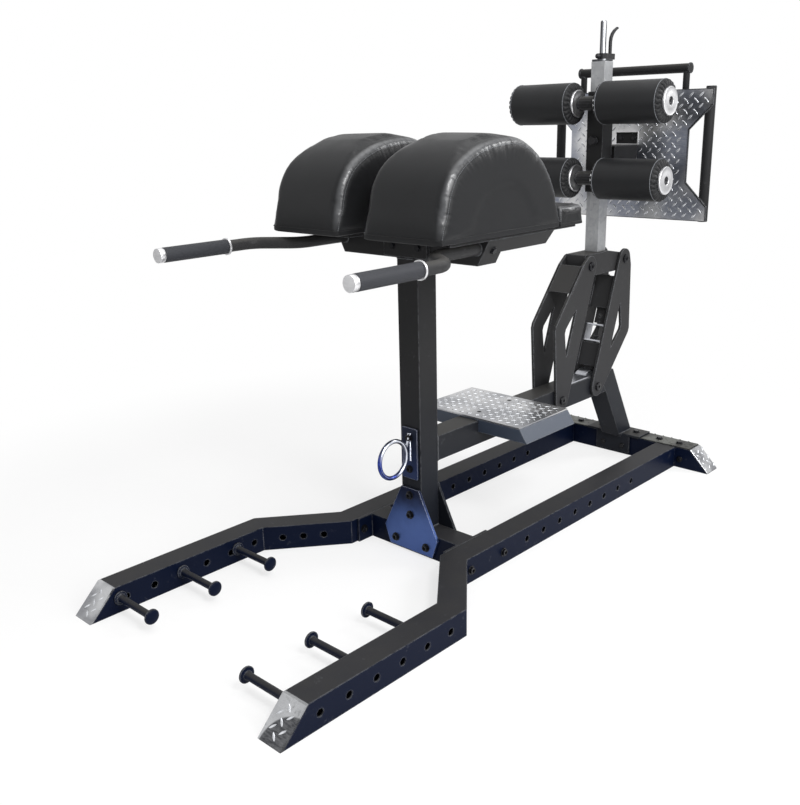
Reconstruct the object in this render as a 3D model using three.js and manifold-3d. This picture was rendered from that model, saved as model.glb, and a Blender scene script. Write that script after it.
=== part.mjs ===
// A glute ham developer: a splayed tube base, an upright that carries two split hip pads and two
// handles, and a tall mast on a parallelogram linkage that carries the ankle rollers and the
// foot plate. Millimetres, +X to the user's right as they lie on it, +Y to the rear, +Z up.
import * as THREE from "three";
import { mergeVertices } from "three/addons/utils/BufferGeometryUtils.js";
import Module from "manifold-3d";

const wasm = await Module();
wasm.setup();

// Stock and fits
const tube = 75;
const wall = 4;
const seam = 0.3;
const overrun = 6;
const weld = 0.001;
const runningGap = 0.5;
const weldDepth = 1;
const ventSize = 12;

// Base: two bent rails, a beam across the rear and a member across under the upright
const baseLength = 2078;
const legSpread = 768;
const railSpread = 431;
const splayRun = 207;
const bendClearance = 10;
const holeSize = 20;
const holePitch = 86;
const legHoleInset = 113;
const legHoleMargin = 47;
const legHoles = 6;
const railHoles = 8;
const railHoleInset = 190;
const splayHoles = 3;
const splayHolePitch = 62;
const endCapThickness = 5;
const beamTopLength = 618;
const beamBottomLength = 764;
const uprightShare = 0.434;
const flangeLength = 190;
const flangeThickness = 8;
const flangeBoltSpread = 148;
const boltHole = 12;

// Gusset plates on both faces of the upright's foot
const gussetThickness = 8;
const gussetLift = 8;
const gussetHeight = 198;
const gussetWaistHeight = 56;
const gussetTopWidth = 68;
const gussetWaistWidth = 208;
const gussetFootWidth = 168;
const gussetBoltSpread = 120;
const gussetBoltHeights = [34, 122, 184];

// Rope ring on the front of the upright
const ringHeight = 314;
const ringDiameter = 108;
const ringBar = 13;
const ringReach = 69;
const ringPlateWidth = 60;
const ringPlateHeight = 156;
const ringPlateThickness = 6;
const ringLugThickness = 8;
const ringLugHeight = 84;

// Band pegs on the inner faces of the legs
const pegShares = [0.158, 0.49, 0.812];
const pegHeight = 42;
const pegLength = 158;
const pegShaft = 20;
const pegHead = 42;
const pegHeadThickness = 9;
const pegFlange = 38;
const pegFlangeThickness = 5;

// Spine, rear strut and step
const spineHeight = 315;
const strutTopInset = 253;
const strutFootInset = 98;
const strutFootWidth = 220;
const strutFootThickness = 8;
const strutApronWidth = 140;
const stepDepth = 253;
const stepTopWidth = 386;
const stepFlare = 27;
const stepSkirt = 44;
const sheetThickness = 4;
const stepBoltPitch = 155;
const stepBoltInset = 53;
const stepBoltHole = 16;

// Pad carrier on top of the upright
const padSeatHeight = 951;
const carrierTopWidth = 572;
const carrierFlare = 41;
const carrierPlateThickness = 8;
const carrierPlateFront = 193;
const carrierPlateRear = 344;
const carrierRailHeight = 45;
const carrierRailRear = 250;
const carrierRailSlant = 12;
const carrierRailFlange = 17;
const apronWidth = 160;
const apronThickness = 8;
const apronHeight = 66;

// Pads, measured from the upright's middle
const padGap = 90;
const padWidth = 263;
const padFrontReach = 249;
const padRearReach = 242;
const padApexLag = 9;
const padHeight = 246;
const padBoard = 15;
const padTopCrown = 4;
const padEdge = 16;
const rearPadDepth = 108;
const rearPadHeight = 57;
const rearPadEdge = 12;
const padClearance = 1;

// Handles, measured from the upright's middle
const handleDrop = 31;
const handleTube = 32;
const handleWall = 3;
const handleSpread = 704;
const handleStubInset = 44;
const handleFrontReach = 592;
const handleOuterBend = 284;
const handleInnerBend = 207;
const handleBendRadius = 62;
const gripCapLength = 17;
const gripCap = 38;
const gripLength = 197;
const gripDiameter = 39;
const sleeveDiameter = 35;
const collarDiameter = 46;
const collarThickness = 6;

// Linkage: two links of equal length between the spine and the head
const linkLength = 460;
const linkPitch = 222;
const linkOffset = 149;
const rearPivotInset = 288;
const linkPlateThickness = 10;
const linkSideGap = 2;
const linkStraightEdge = 35;
const linkBow = 130;
const linkKneeShare = 0.491;
const linkShoulderDrop = 10;
const linkShoulderReach = 48;
const linkCoverLength = 99;
const linkCoverThickness = 8;
const linkStrip = 31;
const slotKnee = 70;
const slotReach = 79;
const pivotPin = 20;
const pivotHead = 30;
const pivotHeadThickness = 6;
const webInset = 17;
const webThickness = 8;
const upperWebGap = 59;
const upperWebDrop = 68;
const lowerWebFoot = 66;
const lowerWebGap = 5;

// Friction lock between the rear link and the spine
const drumRadius = 57;
const drumWidth = 44;
const drumBaseLength = 190;
const drumBaseWidth = 70;
const drumBaseThickness = 5;
const drumBaseLead = 151;
const shoeWidth = 40;
const shoeDepth = 18;
const shoeHeight = 26;
const stemDiameter = 12;
const latchFoot = 155;
const latchHead = 217;
const latchDepth = 40;
const latchWall = 5;
const stemRise = 5;
const eyeBarWidth = 36;
const eyeBarThickness = 6;
const eyeBarLength = 56;
const eyeRise = 26;
const eyeHole = 16;
const pullWire = 6;
const pullWireDrop = 62;

// Head and mast
const mastTube = 50;
const mastWall = 3;
const headFrontMargin = 18;
const headRearMargin = 25;
const headSlope = 21;
const headWall = 5;
const mastSetback = 101;
const mastLength = 615;
const cableHole = 12;
const cableEntryDrop = 73;

// Grip rod, release lever and cable
const rodDiameter = 20;
const rodLength = 124;
const rodFlangeThickness = 6;
const rodPlugLength = 14;
const clampHeight = 18;
const clampDiameter = 32;
const clampTail = 45;
const clampWidth = 20;
const knobDiameter = 17;
const knobReach = 29;
const leverPivotHole = 6;
const leverWidth = 12;
const leverThickness = 6;
const leverLength = 90;
const leverFlare = 40;
const leverCheekGap = 1;
const cableDiameter = 5;
const cableSag = 62;
const cableBend = 15;
const cableLug = 8;

// Roller carriage on the mast, with heights above its own foot
const carriageTube = 60;
const carriageLength = 322;
const carriageHeadroom = 20;
const carriageWall = 4;
const axleReach = 70;
const axleInsets = [47.5, 37];
const axleDiameter = 25;
const axleSetIn = 6;
const axleBlock = 44;
const axleCollar = 36;
const armWidth = 86;
const armHeight = 60;
const armTop = 148;
const plungerHeight = 167;
const plungerStem = 10;
const plungerBush = 22;
const plungerBushLength = 8;
const plungerKnob = 28;
const plungerKnobLength = 12;
const plungerKnobGap = 1;

// Rollers
const rollerInner = 38;
const rollerOuter = 290;
const rollerDisc = 86;
const rollerDiscThickness = 8;
const rollerCore = 34;
const rollerFoam = 132;
const rollerShoulder = 18;
const rollerEndDraw = 6;

// Foot plate and its frame, with heights above the carriage's foot
const footPlateReach = 178;
const footPlateThickness = 5;
const footPlateWidth = 612;
const footPlateDrop = 102;
const footPlateHeight = 425;
const footNotchFoot = 49;
const footNotchHead = 51;
const footNotchDepth = 78;
const treadMargin = 3;
const windowWidth = 85;
const windowLift = 1;
const windowHeight = 40;
const sideBar = 33;
const sideBarInset = 20;
const sideBarDrop = 2;
const sideBarRise = 8;
const topBar = 30;
const topBarWidth = 422;
const topBarRise = 66;
const topBarPost = 22;
const topBarOverhang = 15;

// Round work is cut into this many sides
const fineSides = 20;
const plainSides = 16;
const pipeSides = 12;
const holeSides = 8;
const bendParts = 4;

// Places that follow from the sizes above
const frontY = -baseLength / 2;
const rearY = baseLength / 2;
const legX = legSpread / 2;
const railX = railSpread / 2;
const uprightY = frontY + baseLength * uprightShare;
const railBendY = uprightY - flangeLength / 2 - bendClearance;
const legBendY = railBendY - splayRun;
const legLength = legBendY - frontY;
const beamFrontY = rearY - tube;
const uprightFrontY = uprightY - tube / 2;
const uprightRearY = uprightY + tube / 2;
const spineTop = spineHeight + tube / 2;
const spineBottom = spineHeight - tube / 2;
const strutTopY = rearY - strutTopInset;
const strutFootY = rearY - strutFootInset;
const strutRun = strutFootY - strutTopY;
const strutRise = spineTop - tube;
const strutDepth = (tube * Math.hypot(strutRun, strutRise)) / strutRise;
const stepTop = spineTop + seam + sheetThickness;
const carrierBottom = padSeatHeight - tube;
const carrierBottomWidth = carrierTopWidth - 2 * carrierFlare;
const handleHeight = padSeatHeight - handleDrop;
const handleTipY = uprightY - handleFrontReach;
const padBreakY = uprightY + padRearReach;
const rearPivotY = rearY - rearPivotInset;
const frontPivotY = rearPivotY - linkPitch;
const stepFrontY = (uprightRearY + frontPivotY - stepDepth) / 2;
const linkRise = Math.sqrt(linkLength ** 2 - linkOffset ** 2);
const linkLean = Math.asin(linkOffset / linkLength);
const linkInnerX = tube / 2 + linkSideGap;
const linkOuterX = linkInnerX + linkPlateThickness;
const linkKnee = linkLength * linkKneeShare;
const linkShoulder = linkLength - linkShoulderDrop;
const stemHead = latchHead + stemRise;
const eyeBarHead = stemHead + eyeBarLength;
const headY = frontPivotY + linkOffset;
const headZ = spineHeight + linkRise;
const mastFoot = headZ + tube / 2 + seam;
const mastTop = mastFoot + mastLength;
const cableEntryZ = mastTop - cableEntryDrop;
const carriageZ = cableEntryZ - carriageHeadroom - carriageLength;
const axleHeights = [axleInsets[0], carriageLength - axleInsets[1]];
const rodFoot = mastTop - headZ + seam;
const clampFoot = rodFoot + rodFlangeThickness + seam;
const footPlateRear = footPlateReach + sheetThickness + seam + footPlateThickness;
const footPlateTop = footPlateHeight - footPlateDrop;
const sideBarReach = footPlateRear + sideBar / 2 - weldDepth;

// Finishes
const blackPaint = new THREE.MeshStandardMaterial({ color: 0x26272a, roughness: 0.45, metalness: 0.2 });
const zinc = new THREE.MeshStandardMaterial({ color: 0xb4b5b6, roughness: 0.38, metalness: 0.9 });
const treadPlate = new THREE.MeshStandardMaterial({ color: 0xb9bcc0, roughness: 0.35, metalness: 0.9 });
const polished = new THREE.MeshStandardMaterial({ color: 0xd6d9dd, roughness: 0.12, metalness: 1 });
const silver = new THREE.MeshStandardMaterial({ color: 0xdcdddd, roughness: 0.4, metalness: 0.6 });
const vinyl = new THREE.MeshStandardMaterial({ color: 0x252525, roughness: 0.5, metalness: 0 });
const gripRubber = new THREE.MeshStandardMaterial({ color: 0x4a4c50, roughness: 0.75, metalness: 0 });
const blackPlastic = new THREE.MeshStandardMaterial({ color: 0x161617, roughness: 0.5, metalness: 0 });

// Turns a closed three.js geometry into a solid whose faces point outwards.
function solid(geometry) {
  const loose = geometry.index ? geometry.toNonIndexed() : geometry;
  const bare = new THREE.BufferGeometry();
  bare.setAttribute("position", loose.getAttribute("position"));
  const merged = mergeVertices(bare, weld);
  const vertProperties = new Float32Array(merged.attributes.position.array);
  const triVerts = new Uint32Array(merged.index.array);
  const made = new wasm.Manifold(new wasm.Mesh({ numProp: 3, vertProperties, triVerts }));
  if (made.volume() >= 0) return made;
  for (let i = 0; i < triVerts.length; i += 3) {
    const swap = triVerts[i];
    triVerts[i] = triVerts[i + 1];
    triVerts[i + 1] = swap;
  }
  return new wasm.Manifold(new wasm.Mesh({ numProp: 3, vertProperties, triVerts }));
}

// Makes a named mesh from a solid.
function piece(name, made, material) {
  const data = made.getMesh();
  const geometry = new THREE.BufferGeometry();
  geometry.setAttribute("position", new THREE.BufferAttribute(data.vertProperties, 3));
  geometry.setIndex(new THREE.BufferAttribute(data.triVerts, 1));
  const flat = geometry.toNonIndexed();
  flat.computeVertexNormals();
  const mesh = new THREE.Mesh(flat, material);
  mesh.name = name;
  return mesh;
}

function joined(...solids) {
  return solids.reduce((sum, next) => sum.add(next));
}

function cut(body, ...tools) {
  return tools.reduce((rest, tool) => rest.subtract(tool), body);
}

// A block between two corners.
function block(x0, x1, y0, y1, z0, z1) {
  const geometry = new THREE.BoxGeometry(x1 - x0, y1 - y0, z1 - z0);
  geometry.translate((x0 + x1) / 2, (y0 + y1) / 2, (z0 + z1) / 2);
  return solid(geometry);
}

function outline(points) {
  return new THREE.Shape(points.map(([a, b]) => new THREE.Vector2(a, b)));
}

// Extrudes an outline: (y, z) along x, (x, z) along y or (x, y) along z, between two places.
function extruded(shape, axis, from, to, curveSegments = bendParts) {
  const geometry = new THREE.ExtrudeGeometry(shape, {
    depth: to - from,
    steps: 1,
    bevelEnabled: false,
    curveSegments,
  });
  const x = new THREE.Vector3(1, 0, 0);
  const y = new THREE.Vector3(0, 1, 0);
  const z = new THREE.Vector3(0, 0, 1);
  const turn = new THREE.Matrix4();
  if (axis === "x") turn.makeBasis(y, z, x).setPosition(from, 0, 0);
  if (axis === "y") turn.makeBasis(x, z, y.negate()).setPosition(0, to, 0);
  if (axis === "z") turn.makeTranslation(0, 0, from);
  geometry.applyMatrix4(turn);
  return solid(geometry);
}

// A round bar along an axis, centred on the other two coordinates given in their order.
function round(axis, a, b, diameter, from, to, sides = plainSides) {
  const geometry = new THREE.CylinderGeometry(diameter / 2, diameter / 2, to - from, sides);
  geometry.rotateY(Math.PI / sides);
  const middle = (from + to) / 2;
  if (axis === "x") geometry.rotateZ(-Math.PI / 2).translate(middle, a, b);
  if (axis === "y") geometry.translate(a, middle, b);
  if (axis === "z") geometry.rotateX(Math.PI / 2).translate(a, b, middle);
  return solid(geometry);
}

// Turns a profile of (radius, place) pairs about an axis that passes through a centre.
function turned(profile, axis, sides = fineSides, centre = [0, 0, 0]) {
  const points = profile.map(([radius, place]) => new THREE.Vector2(radius, place));
  const geometry = new THREE.LatheGeometry(points, sides);
  if (axis === "x") geometry.rotateZ(-Math.PI / 2);
  if (axis === "z") geometry.rotateX(Math.PI / 2);
  geometry.translate(...centre);
  return solid(geometry);
}

// A band of even width along a path in the ground plane, with mitred corners.
function band(path, halfWidth) {
  const left = [];
  const right = [];
  path.forEach((point, i) => {
    const before = path[Math.max(i - 1, 0)];
    const after = path[Math.min(i + 1, path.length - 1)];
    const into = new THREE.Vector2().subVectors(point, before).normalize();
    const out = new THREE.Vector2().subVectors(after, point).normalize();
    if (i === 0) into.copy(out);
    if (i === path.length - 1) out.copy(into);
    const normal = new THREE.Vector2(-into.y - out.y, into.x + out.x).normalize();
    const reach = halfWidth / normal.dot(new THREE.Vector2(-out.y, out.x));
    left.push(point.clone().addScaledVector(normal, reach));
    right.unshift(point.clone().addScaledVector(normal, -reach));
  });
  return new THREE.Shape([...left, ...right]);
}

// Rounds the inner corners of a path of points to arcs of one radius.
function eased(points, radius, parts = bendParts) {
  const path = [points[0]];
  for (let i = 1; i < points.length - 1; i += 1) {
    const back = new THREE.Vector3().subVectors(points[i - 1], points[i]).normalize();
    const ahead = new THREE.Vector3().subVectors(points[i + 1], points[i]).normalize();
    const half = back.angleTo(ahead) / 2;
    const middle = new THREE.Vector3().addVectors(back, ahead).normalize();
    const centre = points[i].clone().addScaledVector(middle, radius / Math.sin(half));
    const first = points[i].clone().addScaledVector(back, radius / Math.tan(half)).sub(centre);
    const last = points[i].clone().addScaledVector(ahead, radius / Math.tan(half)).sub(centre);
    const sweep = first.angleTo(last);
    for (let k = 0; k <= parts; k += 1) {
      const share = k / parts;
      const a = Math.sin((1 - share) * sweep) / Math.sin(sweep);
      const b = Math.sin(share * sweep) / Math.sin(sweep);
      path.push(first.clone().multiplyScalar(a).addScaledVector(last, b).add(centre));
    }
  }
  path.push(points[points.length - 1]);
  return path;
}

// A round bar along a path of points, with one ring at each point and a flat end at both ends.
function pipe(path, diameter, sides = pipeSides) {
  const positions = [];
  const index = [];
  let side = new THREE.Vector3(1, 0, 0);
  path.forEach((point, i) => {
    const before = path[Math.max(i - 1, 0)];
    const after = path[Math.min(i + 1, path.length - 1)];
    const along = new THREE.Vector3().subVectors(after, before).normalize();
    if (i === 0 && Math.abs(side.dot(along)) > 1 / 2) side = new THREE.Vector3(0, 0, 1);
    side = side.clone().addScaledVector(along, -side.dot(along)).normalize();
    const up = new THREE.Vector3().crossVectors(along, side);
    for (let k = 0; k < sides; k += 1) {
      const angle = (2 * Math.PI * (k + 1 / 2)) / sides;
      const rim = point
        .clone()
        .addScaledVector(side, (Math.cos(angle) * diameter) / 2)
        .addScaledVector(up, (Math.sin(angle) * diameter) / 2);
      positions.push(rim.x, rim.y, rim.z);
    }
  });
  for (let i = 0; i < path.length - 1; i += 1) {
    for (let k = 0; k < sides; k += 1) {
      const a = i * sides + k;
      const b = i * sides + ((k + 1) % sides);
      index.push(a, b, b + sides, a, b + sides, a + sides);
    }
  }
  const end = (path.length - 1) * sides;
  for (let k = 1; k < sides - 1; k += 1) {
    index.push(0, k + 1, k, end, end + k, end + k + 1);
  }
  const geometry = new THREE.BufferGeometry();
  geometry.setAttribute("position", new THREE.Float32BufferAttribute(positions, 3));
  geometry.setIndex(index);
  return solid(geometry);
}

// Joins closed rings of points, all with as many points, into one solid with flat ends.
function lofted(rings) {
  const sides = rings[0].length;
  const index = [];
  for (let i = 0; i < rings.length - 1; i += 1) {
    for (let k = 0; k < sides; k += 1) {
      const a = i * sides + k;
      const b = i * sides + ((k + 1) % sides);
      index.push(a, b, b + sides, a, b + sides, a + sides);
    }
  }
  const end = (rings.length - 1) * sides;
  const section = rings[0].map((point) => new THREE.Vector2(point.y, point.z));
  const clockwise = THREE.ShapeUtils.isClockWise(section);
  THREE.ShapeUtils.triangulateShape(section, []).forEach(([a, b, c]) => {
    const [second, third] = clockwise ? [c, b] : [b, c];
    index.push(a, third, second, end + a, end + second, end + third);
  });
  const positions = rings.flat().flatMap((point) => [point.x, point.y, point.z]);
  const geometry = new THREE.BufferGeometry();
  geometry.setAttribute("position", new THREE.Float32BufferAttribute(positions, 3));
  geometry.setIndex(index);
  return solid(geometry);
}

// A bent rail: leg, splay and rail in one hollow tube, drilled through, with a slanted front end.
function rail(side) {
  const inset = (endCapThickness + seam) * Math.SQRT2;
  const route = (extra) => [
    new THREE.Vector2(side * legX, frontY - extra),
    new THREE.Vector2(side * legX, legBendY),
    new THREE.Vector2(side * railX, railBendY),
    new THREE.Vector2(side * railX, beamFrontY - seam + extra),
  ];
  const outer = extruded(band(route(0), tube / 2), "z", 0, tube);
  const inner = extruded(band(route(overrun), tube / 2 - wall), "z", wall, tube - wall);
  const slant = outline([
    [frontY + inset - overrun, -overrun],
    [frontY - 2 * overrun, -overrun],
    [frontY - 2 * overrun, tube + overrun],
    [frontY + inset + tube + overrun, tube + overrun],
  ]);
  const reach = tube / 2 + overrun;
  const across = (x, y) =>
    round("x", y, tube / 2, holeSize, side * x - reach, side * x + reach, holeSides);
  const legHolePitch = (legLength - legHoleInset - legHoleMargin) / (legHoles - 1);
  const holes = [];
  for (let i = 0; i < legHoles; i += 1) {
    holes.push(across(legX, frontY + legHoleInset + i * legHolePitch));
  }
  for (let i = 0; i < railHoles; i += 1) {
    holes.push(across(railX, uprightY + railHoleInset + i * holePitch));
  }
  for (const place of [-1, 1]) {
    holes.push(across(railX, uprightY + (place * flangeBoltSpread) / 2));
  }
  for (let i = 0; i < splayHoles; i += 1) {
    holes.push(splayHole(side, (i - (splayHoles - 1) / 2) * splayHolePitch));
  }
  const front = extruded(slant, "x", side * legX - reach, side * legX + reach);
  return cut(outer, inner, front, ...holes);
}

// A hole through the splay, square to it, at a distance from its middle.
function splayHole(side, along) {
  const middle = new THREE.Vector3((side * (legX + railX)) / 2, (legBendY + railBendY) / 2, tube / 2);
  const run = new THREE.Vector3(side * (railX - legX), splayRun, 0).normalize();
  const square = new THREE.Vector3(-run.y, run.x, 0);
  const centre = middle.addScaledVector(run, along);
  const reach = tube / 2 + overrun;
  const ends = [-reach, reach].map((distance) => centre.clone().addScaledVector(square, distance));
  return pipe(ends, holeSize, holeSides);
}

// The slanted tread plate that closes a leg's front end.
function endCap(side) {
  const depth = endCapThickness * Math.SQRT2;
  const face = outline([
    [frontY, 0],
    [frontY + depth, 0],
    [frontY + depth + tube, tube],
    [frontY + tube, tube],
  ]);
  return extruded(face, "x", side * legX - tube / 2, side * legX + tube / 2);
}

// The rear beam: a folded channel, open below, whose ends slope out and down.
function rearBeam() {
  const face = (inset, drop) =>
    outline([
      [-beamBottomLength / 2 + inset, -drop],
      [beamBottomLength / 2 - inset, -drop],
      [beamTopLength / 2 - inset, tube - inset],
      [-beamTopLength / 2 + inset, tube - inset],
    ]);
  const outer = extruded(face(0, 0), "y", beamFrontY, rearY);
  const inner = extruded(face(wall, overrun), "y", beamFrontY + wall, rearY - wall);
  return cut(outer, inner);
}

// The member under the upright, with a flange at each end that bolts to the rails.
function frontCrossmember() {
  const end = railX - tube / 2 - seam;
  const body = block(-end, end, uprightFrontY, uprightRearY, 0, tube);
  const half = flangeLength / 2;
  const flanges = [-1, 1].map((side) => {
    const face = side * end;
    const back = face - side * flangeThickness;
    return block(Math.min(face, back), Math.max(face, back), uprightY - half, uprightY + half, 0, tube);
  });
  const hollow = block(
    -end + flangeThickness,
    end - flangeThickness,
    uprightFrontY + wall,
    uprightRearY - wall,
    wall,
    tube - wall,
  );
  const vent = round("z", 0, uprightY, ventSize, -overrun, tube / 2, holeSides);
  const bolts = [-1, 1].map((place) =>
    round("x", uprightY + (place * flangeBoltSpread) / 2, tube / 2, boltHole, -legX, legX, holeSides),
  );
  return cut(joined(body, ...flanges), hollow, vent, ...bolts);
}

// A six-sided plate bolted to the upright and to the member under it.
function gusset(from, to) {
  const shape = outline([
    [-gussetFootWidth / 2, gussetLift],
    [gussetFootWidth / 2, gussetLift],
    [gussetWaistWidth / 2, gussetLift + gussetWaistHeight],
    [gussetTopWidth / 2, gussetLift + gussetHeight],
    [-gussetTopWidth / 2, gussetLift + gussetHeight],
    [-gussetWaistWidth / 2, gussetLift + gussetWaistHeight],
  ]);
  const [foot, ...upper] = gussetBoltHeights;
  const places = [
    [-gussetBoltSpread / 2, foot],
    [gussetBoltSpread / 2, foot],
    ...upper.map((height) => [0, height]),
  ];
  const reach = [from - overrun, to + overrun];
  const bolts = places.map(([x, z]) => round("y", x, z, boltHole, ...reach, holeSides));
  return cut(extruded(shape, "y", from, to), ...bolts);
}

// The upright: a plain hollow tube between the cross member and the pad carrier.
function upright() {
  const foot = tube + seam;
  const head = carrierBottom - seam;
  const half = tube / 2;
  const inner = half - wall;
  const outer = block(-half, half, uprightFrontY, uprightRearY, foot, head);
  const reach = [foot - overrun, head + overrun];
  return cut(outer, block(-inner, inner, uprightY - inner, uprightY + inner, ...reach));
}

// A welded steel ring on a backing plate, standing out from the upright in its middle plane.
function ropeRing() {
  const back = uprightFrontY - seam;
  const face = back - ringPlateThickness;
  const half = ringPlateHeight / 2;
  const side = ringPlateWidth / 2;
  const plate = block(-side, side, face, back, ringHeight - half, ringHeight + half);
  const ring = new THREE.TorusGeometry(ringDiameter / 2, ringBar / 2, pipeSides, fineSides);
  ring.rotateY(Math.PI / 2).translate(0, face - ringReach, ringHeight);
  const near = face - ringReach + ringDiameter / 2;
  const lug = outline([
    [near, ringHeight - ringLugHeight / 4],
    [face + weldDepth, ringHeight - ringLugHeight / 4],
    [face + weldDepth, ringHeight + (ringLugHeight * 3) / 4],
    [near, ringHeight + ringLugHeight / 4],
  ]);
  const reach = [face - overrun, back + overrun];
  const bolts = [-1, 1].map((place) =>
    round("y", 0, ringHeight + place * (half - side / 2), boltHole, ...reach, holeSides),
  );
  const lugs = extruded(lug, "x", -ringLugThickness / 2, ringLugThickness / 2);
  return joined(cut(plate, ...bolts), solid(ring), lugs);
}

// A band peg: flange, slim shaft and round head, turned about its own length.
function bandPeg() {
  return turned(
    [
      [0, 0],
      [pegFlange / 2, 0],
      [pegFlange / 2, pegFlangeThickness],
      [pegShaft / 2, pegFlangeThickness],
      [pegShaft / 2, pegLength - pegHeadThickness],
      [pegHead / 2, pegLength - pegHeadThickness],
      [pegHead / 2, pegLength - pegHeadThickness / 3],
      [pegHead / 2 - pegHeadThickness / 3, pegLength],
      [0, pegLength],
    ],
    "x",
    plainSides,
  );
}

// The spine: a hollow tube from the upright to the strut, bored for the two lower pivots.
function spine() {
  const start = uprightRearY + seam;
  const slope = strutRun / strutRise;
  const side = outline([
    [start, spineBottom],
    [strutTopY - seam + tube * slope, spineBottom],
    [strutTopY - seam, spineTop],
    [start, spineTop],
  ]);
  const outer = extruded(side, "x", -tube / 2, tube / 2);
  const inner = tube / 2 - wall;
  const end = strutTopY + tube;
  const hollow = block(-inner, inner, start - overrun, end, spineHeight - inner, spineHeight + inner);
  const bore = pivotPin + 2 * seam;
  const bores = [frontPivotY, rearPivotY].map((y) =>
    round("x", y, spineHeight, bore, -linkOuterX, linkOuterX),
  );
  return cut(outer, hollow, ...bores);
}

// The slanted strut behind the spine, with a foot that bolts over the rear beam.
function rearStrut() {
  const foot = tube + seam;
  const slope = strutRun / strutRise;
  const at = (z) => strutTopY + (spineTop - z) * slope;
  const side = (inset, extra) =>
    outline([
      [at(foot - extra) + inset, foot - extra],
      [at(foot - extra) + strutDepth - inset, foot - extra],
      [at(spineTop + extra) + strutDepth - inset, spineTop + extra],
      [at(spineTop + extra) + inset, spineTop + extra],
    ]);
  const skin = (wall * strutDepth) / tube;
  const outer = extruded(side(0, 0), "x", -tube / 2, tube / 2);
  const inner = extruded(side(skin, overrun), "x", -tube / 2 + wall, tube / 2 - wall);
  const front = beamFrontY - seam;
  const apron = front - strutFootThickness;
  const top = foot + strutFootThickness;
  const plate = block(-strutFootWidth / 2, strutFootWidth / 2, apron, rearY, foot, top);
  const drop = block(-strutApronWidth / 2, strutApronWidth / 2, apron, front, gussetLift, top);
  const spread = (strutFootWidth + tube) / 4;
  const bolts = [-1, 1].map((place) =>
    round("z", place * spread, rearY - tube / 2, boltHole, foot - overrun, top + overrun, holeSides),
  );
  return cut(joined(outer, plate, drop), inner, ...bolts);
}

// The step: a folded tray over the spine, with ends that slope out and down.
function stepFrame() {
  const bottom = stepTop + seam + sheetThickness - stepSkirt;
  const face = (inset, drop) =>
    outline([
      [-stepTopWidth / 2 - stepFlare + inset, bottom - drop],
      [stepTopWidth / 2 + stepFlare - inset, bottom - drop],
      [stepTopWidth / 2 - inset, stepTop - inset],
      [-stepTopWidth / 2 + inset, stepTop - inset],
    ]);
  const rear = stepFrontY + stepDepth;
  const outer = extruded(face(0, 0), "y", stepFrontY, rear);
  const skin = sheetThickness;
  const inner = extruded(face(skin, overrun), "y", stepFrontY + skin, rear - skin);
  const notch = tube / 2 + seam;
  const reach = [stepFrontY - overrun, rear + overrun];
  const saddle = block(-notch, notch, ...reach, bottom - overrun, spineTop + seam);
  return cut(outer, inner, saddle);
}

// The tread plate on the step, with its two bolt holes on the centre line.
function stepTread() {
  const half = stepTopWidth / 2 - treadMargin / 2;
  const foot = stepTop + seam;
  const rear = stepFrontY + stepDepth;
  const plate = block(-half, half, stepFrontY + seam, rear - seam, foot, foot + sheetThickness);
  const bolts = [0, 1].map((i) =>
    round(
      "z",
      0,
      stepFrontY + stepBoltInset + i * stepBoltPitch,
      stepBoltHole,
      foot - overrun,
      foot + overrun + sheetThickness,
      holeSides,
    ),
  );
  return cut(plate, ...bolts);
}

// The carrier: a beam across the upright's head, a plate under each pad and a rail along each side.
function padCarrier() {
  const slope = carrierFlare / tube;
  const widthAt = (z) => carrierBottomWidth / 2 + (z - carrierBottom) * slope;
  const face = (inset) =>
    outline([
      [-carrierBottomWidth / 2 + inset, carrierBottom + inset],
      [carrierBottomWidth / 2 - inset, carrierBottom + inset],
      [carrierTopWidth / 2 - inset, padSeatHeight - inset],
      [-carrierTopWidth / 2 + inset, padSeatHeight - inset],
    ]);
  const beam = extruded(face(0), "y", uprightFrontY, uprightRearY);
  const hollow = extruded(face(wall), "y", uprightFrontY + wall, uprightRearY - wall);
  const reach = [carrierBottom - overrun, carrierBottom + overrun];
  const vent = round("z", 0, uprightY, ventSize, ...reach, holeSides);
  const apron = block(
    -apronWidth / 2,
    apronWidth / 2,
    uprightFrontY - apronThickness,
    uprightFrontY + wall / 2,
    carrierBottom + wall,
    carrierBottom + wall + apronHeight,
  );
  const sides = [-1, 1].map((side) => joined(carrierPlate(side), carrierRail(side, widthAt)));
  return cut(joined(cut(beam, hollow), apron, ...sides), vent);
}

function carrierPlate(side) {
  const inner = (side * (padGap + padEdge * 2)) / 2;
  const outer = (side * carrierTopWidth) / 2;
  const foot = padSeatHeight - carrierPlateThickness;
  const [x0, x1] = [Math.min(inner, outer), Math.max(inner, outer)];
  const [front, rear] = [uprightY - carrierPlateFront, uprightY + carrierPlateRear];
  return block(x0, x1, front, rear, foot, padSeatHeight);
}

// A folded angle under the outer edge of a carrier plate, with a slanted rear end.
function carrierRail(side, widthAt) {
  const foot = padSeatHeight - carrierRailHeight;
  const head = padSeatHeight - carrierPlateThickness / 2;
  const inner = widthAt(foot) - carrierRailFlange;
  const rear = uprightY + carrierRailRear;
  const profile = outline([
    [side * inner, foot],
    [side * widthAt(foot), foot],
    [side * widthAt(head), head],
    [side * (widthAt(head) - wall), head],
    [side * (widthAt(foot) - wall), foot + wall],
    [side * inner, foot + wall],
  ]);
  const whole = extruded(profile, "y", uprightRearY - wall / 2, rear);
  const end = outline([
    [rear - carrierRailSlant, foot],
    [rear, head],
    [rear + overrun, head],
    [rear + overrun, foot - overrun],
    [rear - carrierRailSlant, foot - overrun],
  ]);
  return cut(whole, extruded(end, "x", -carrierTopWidth, carrierTopWidth));
}

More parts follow.
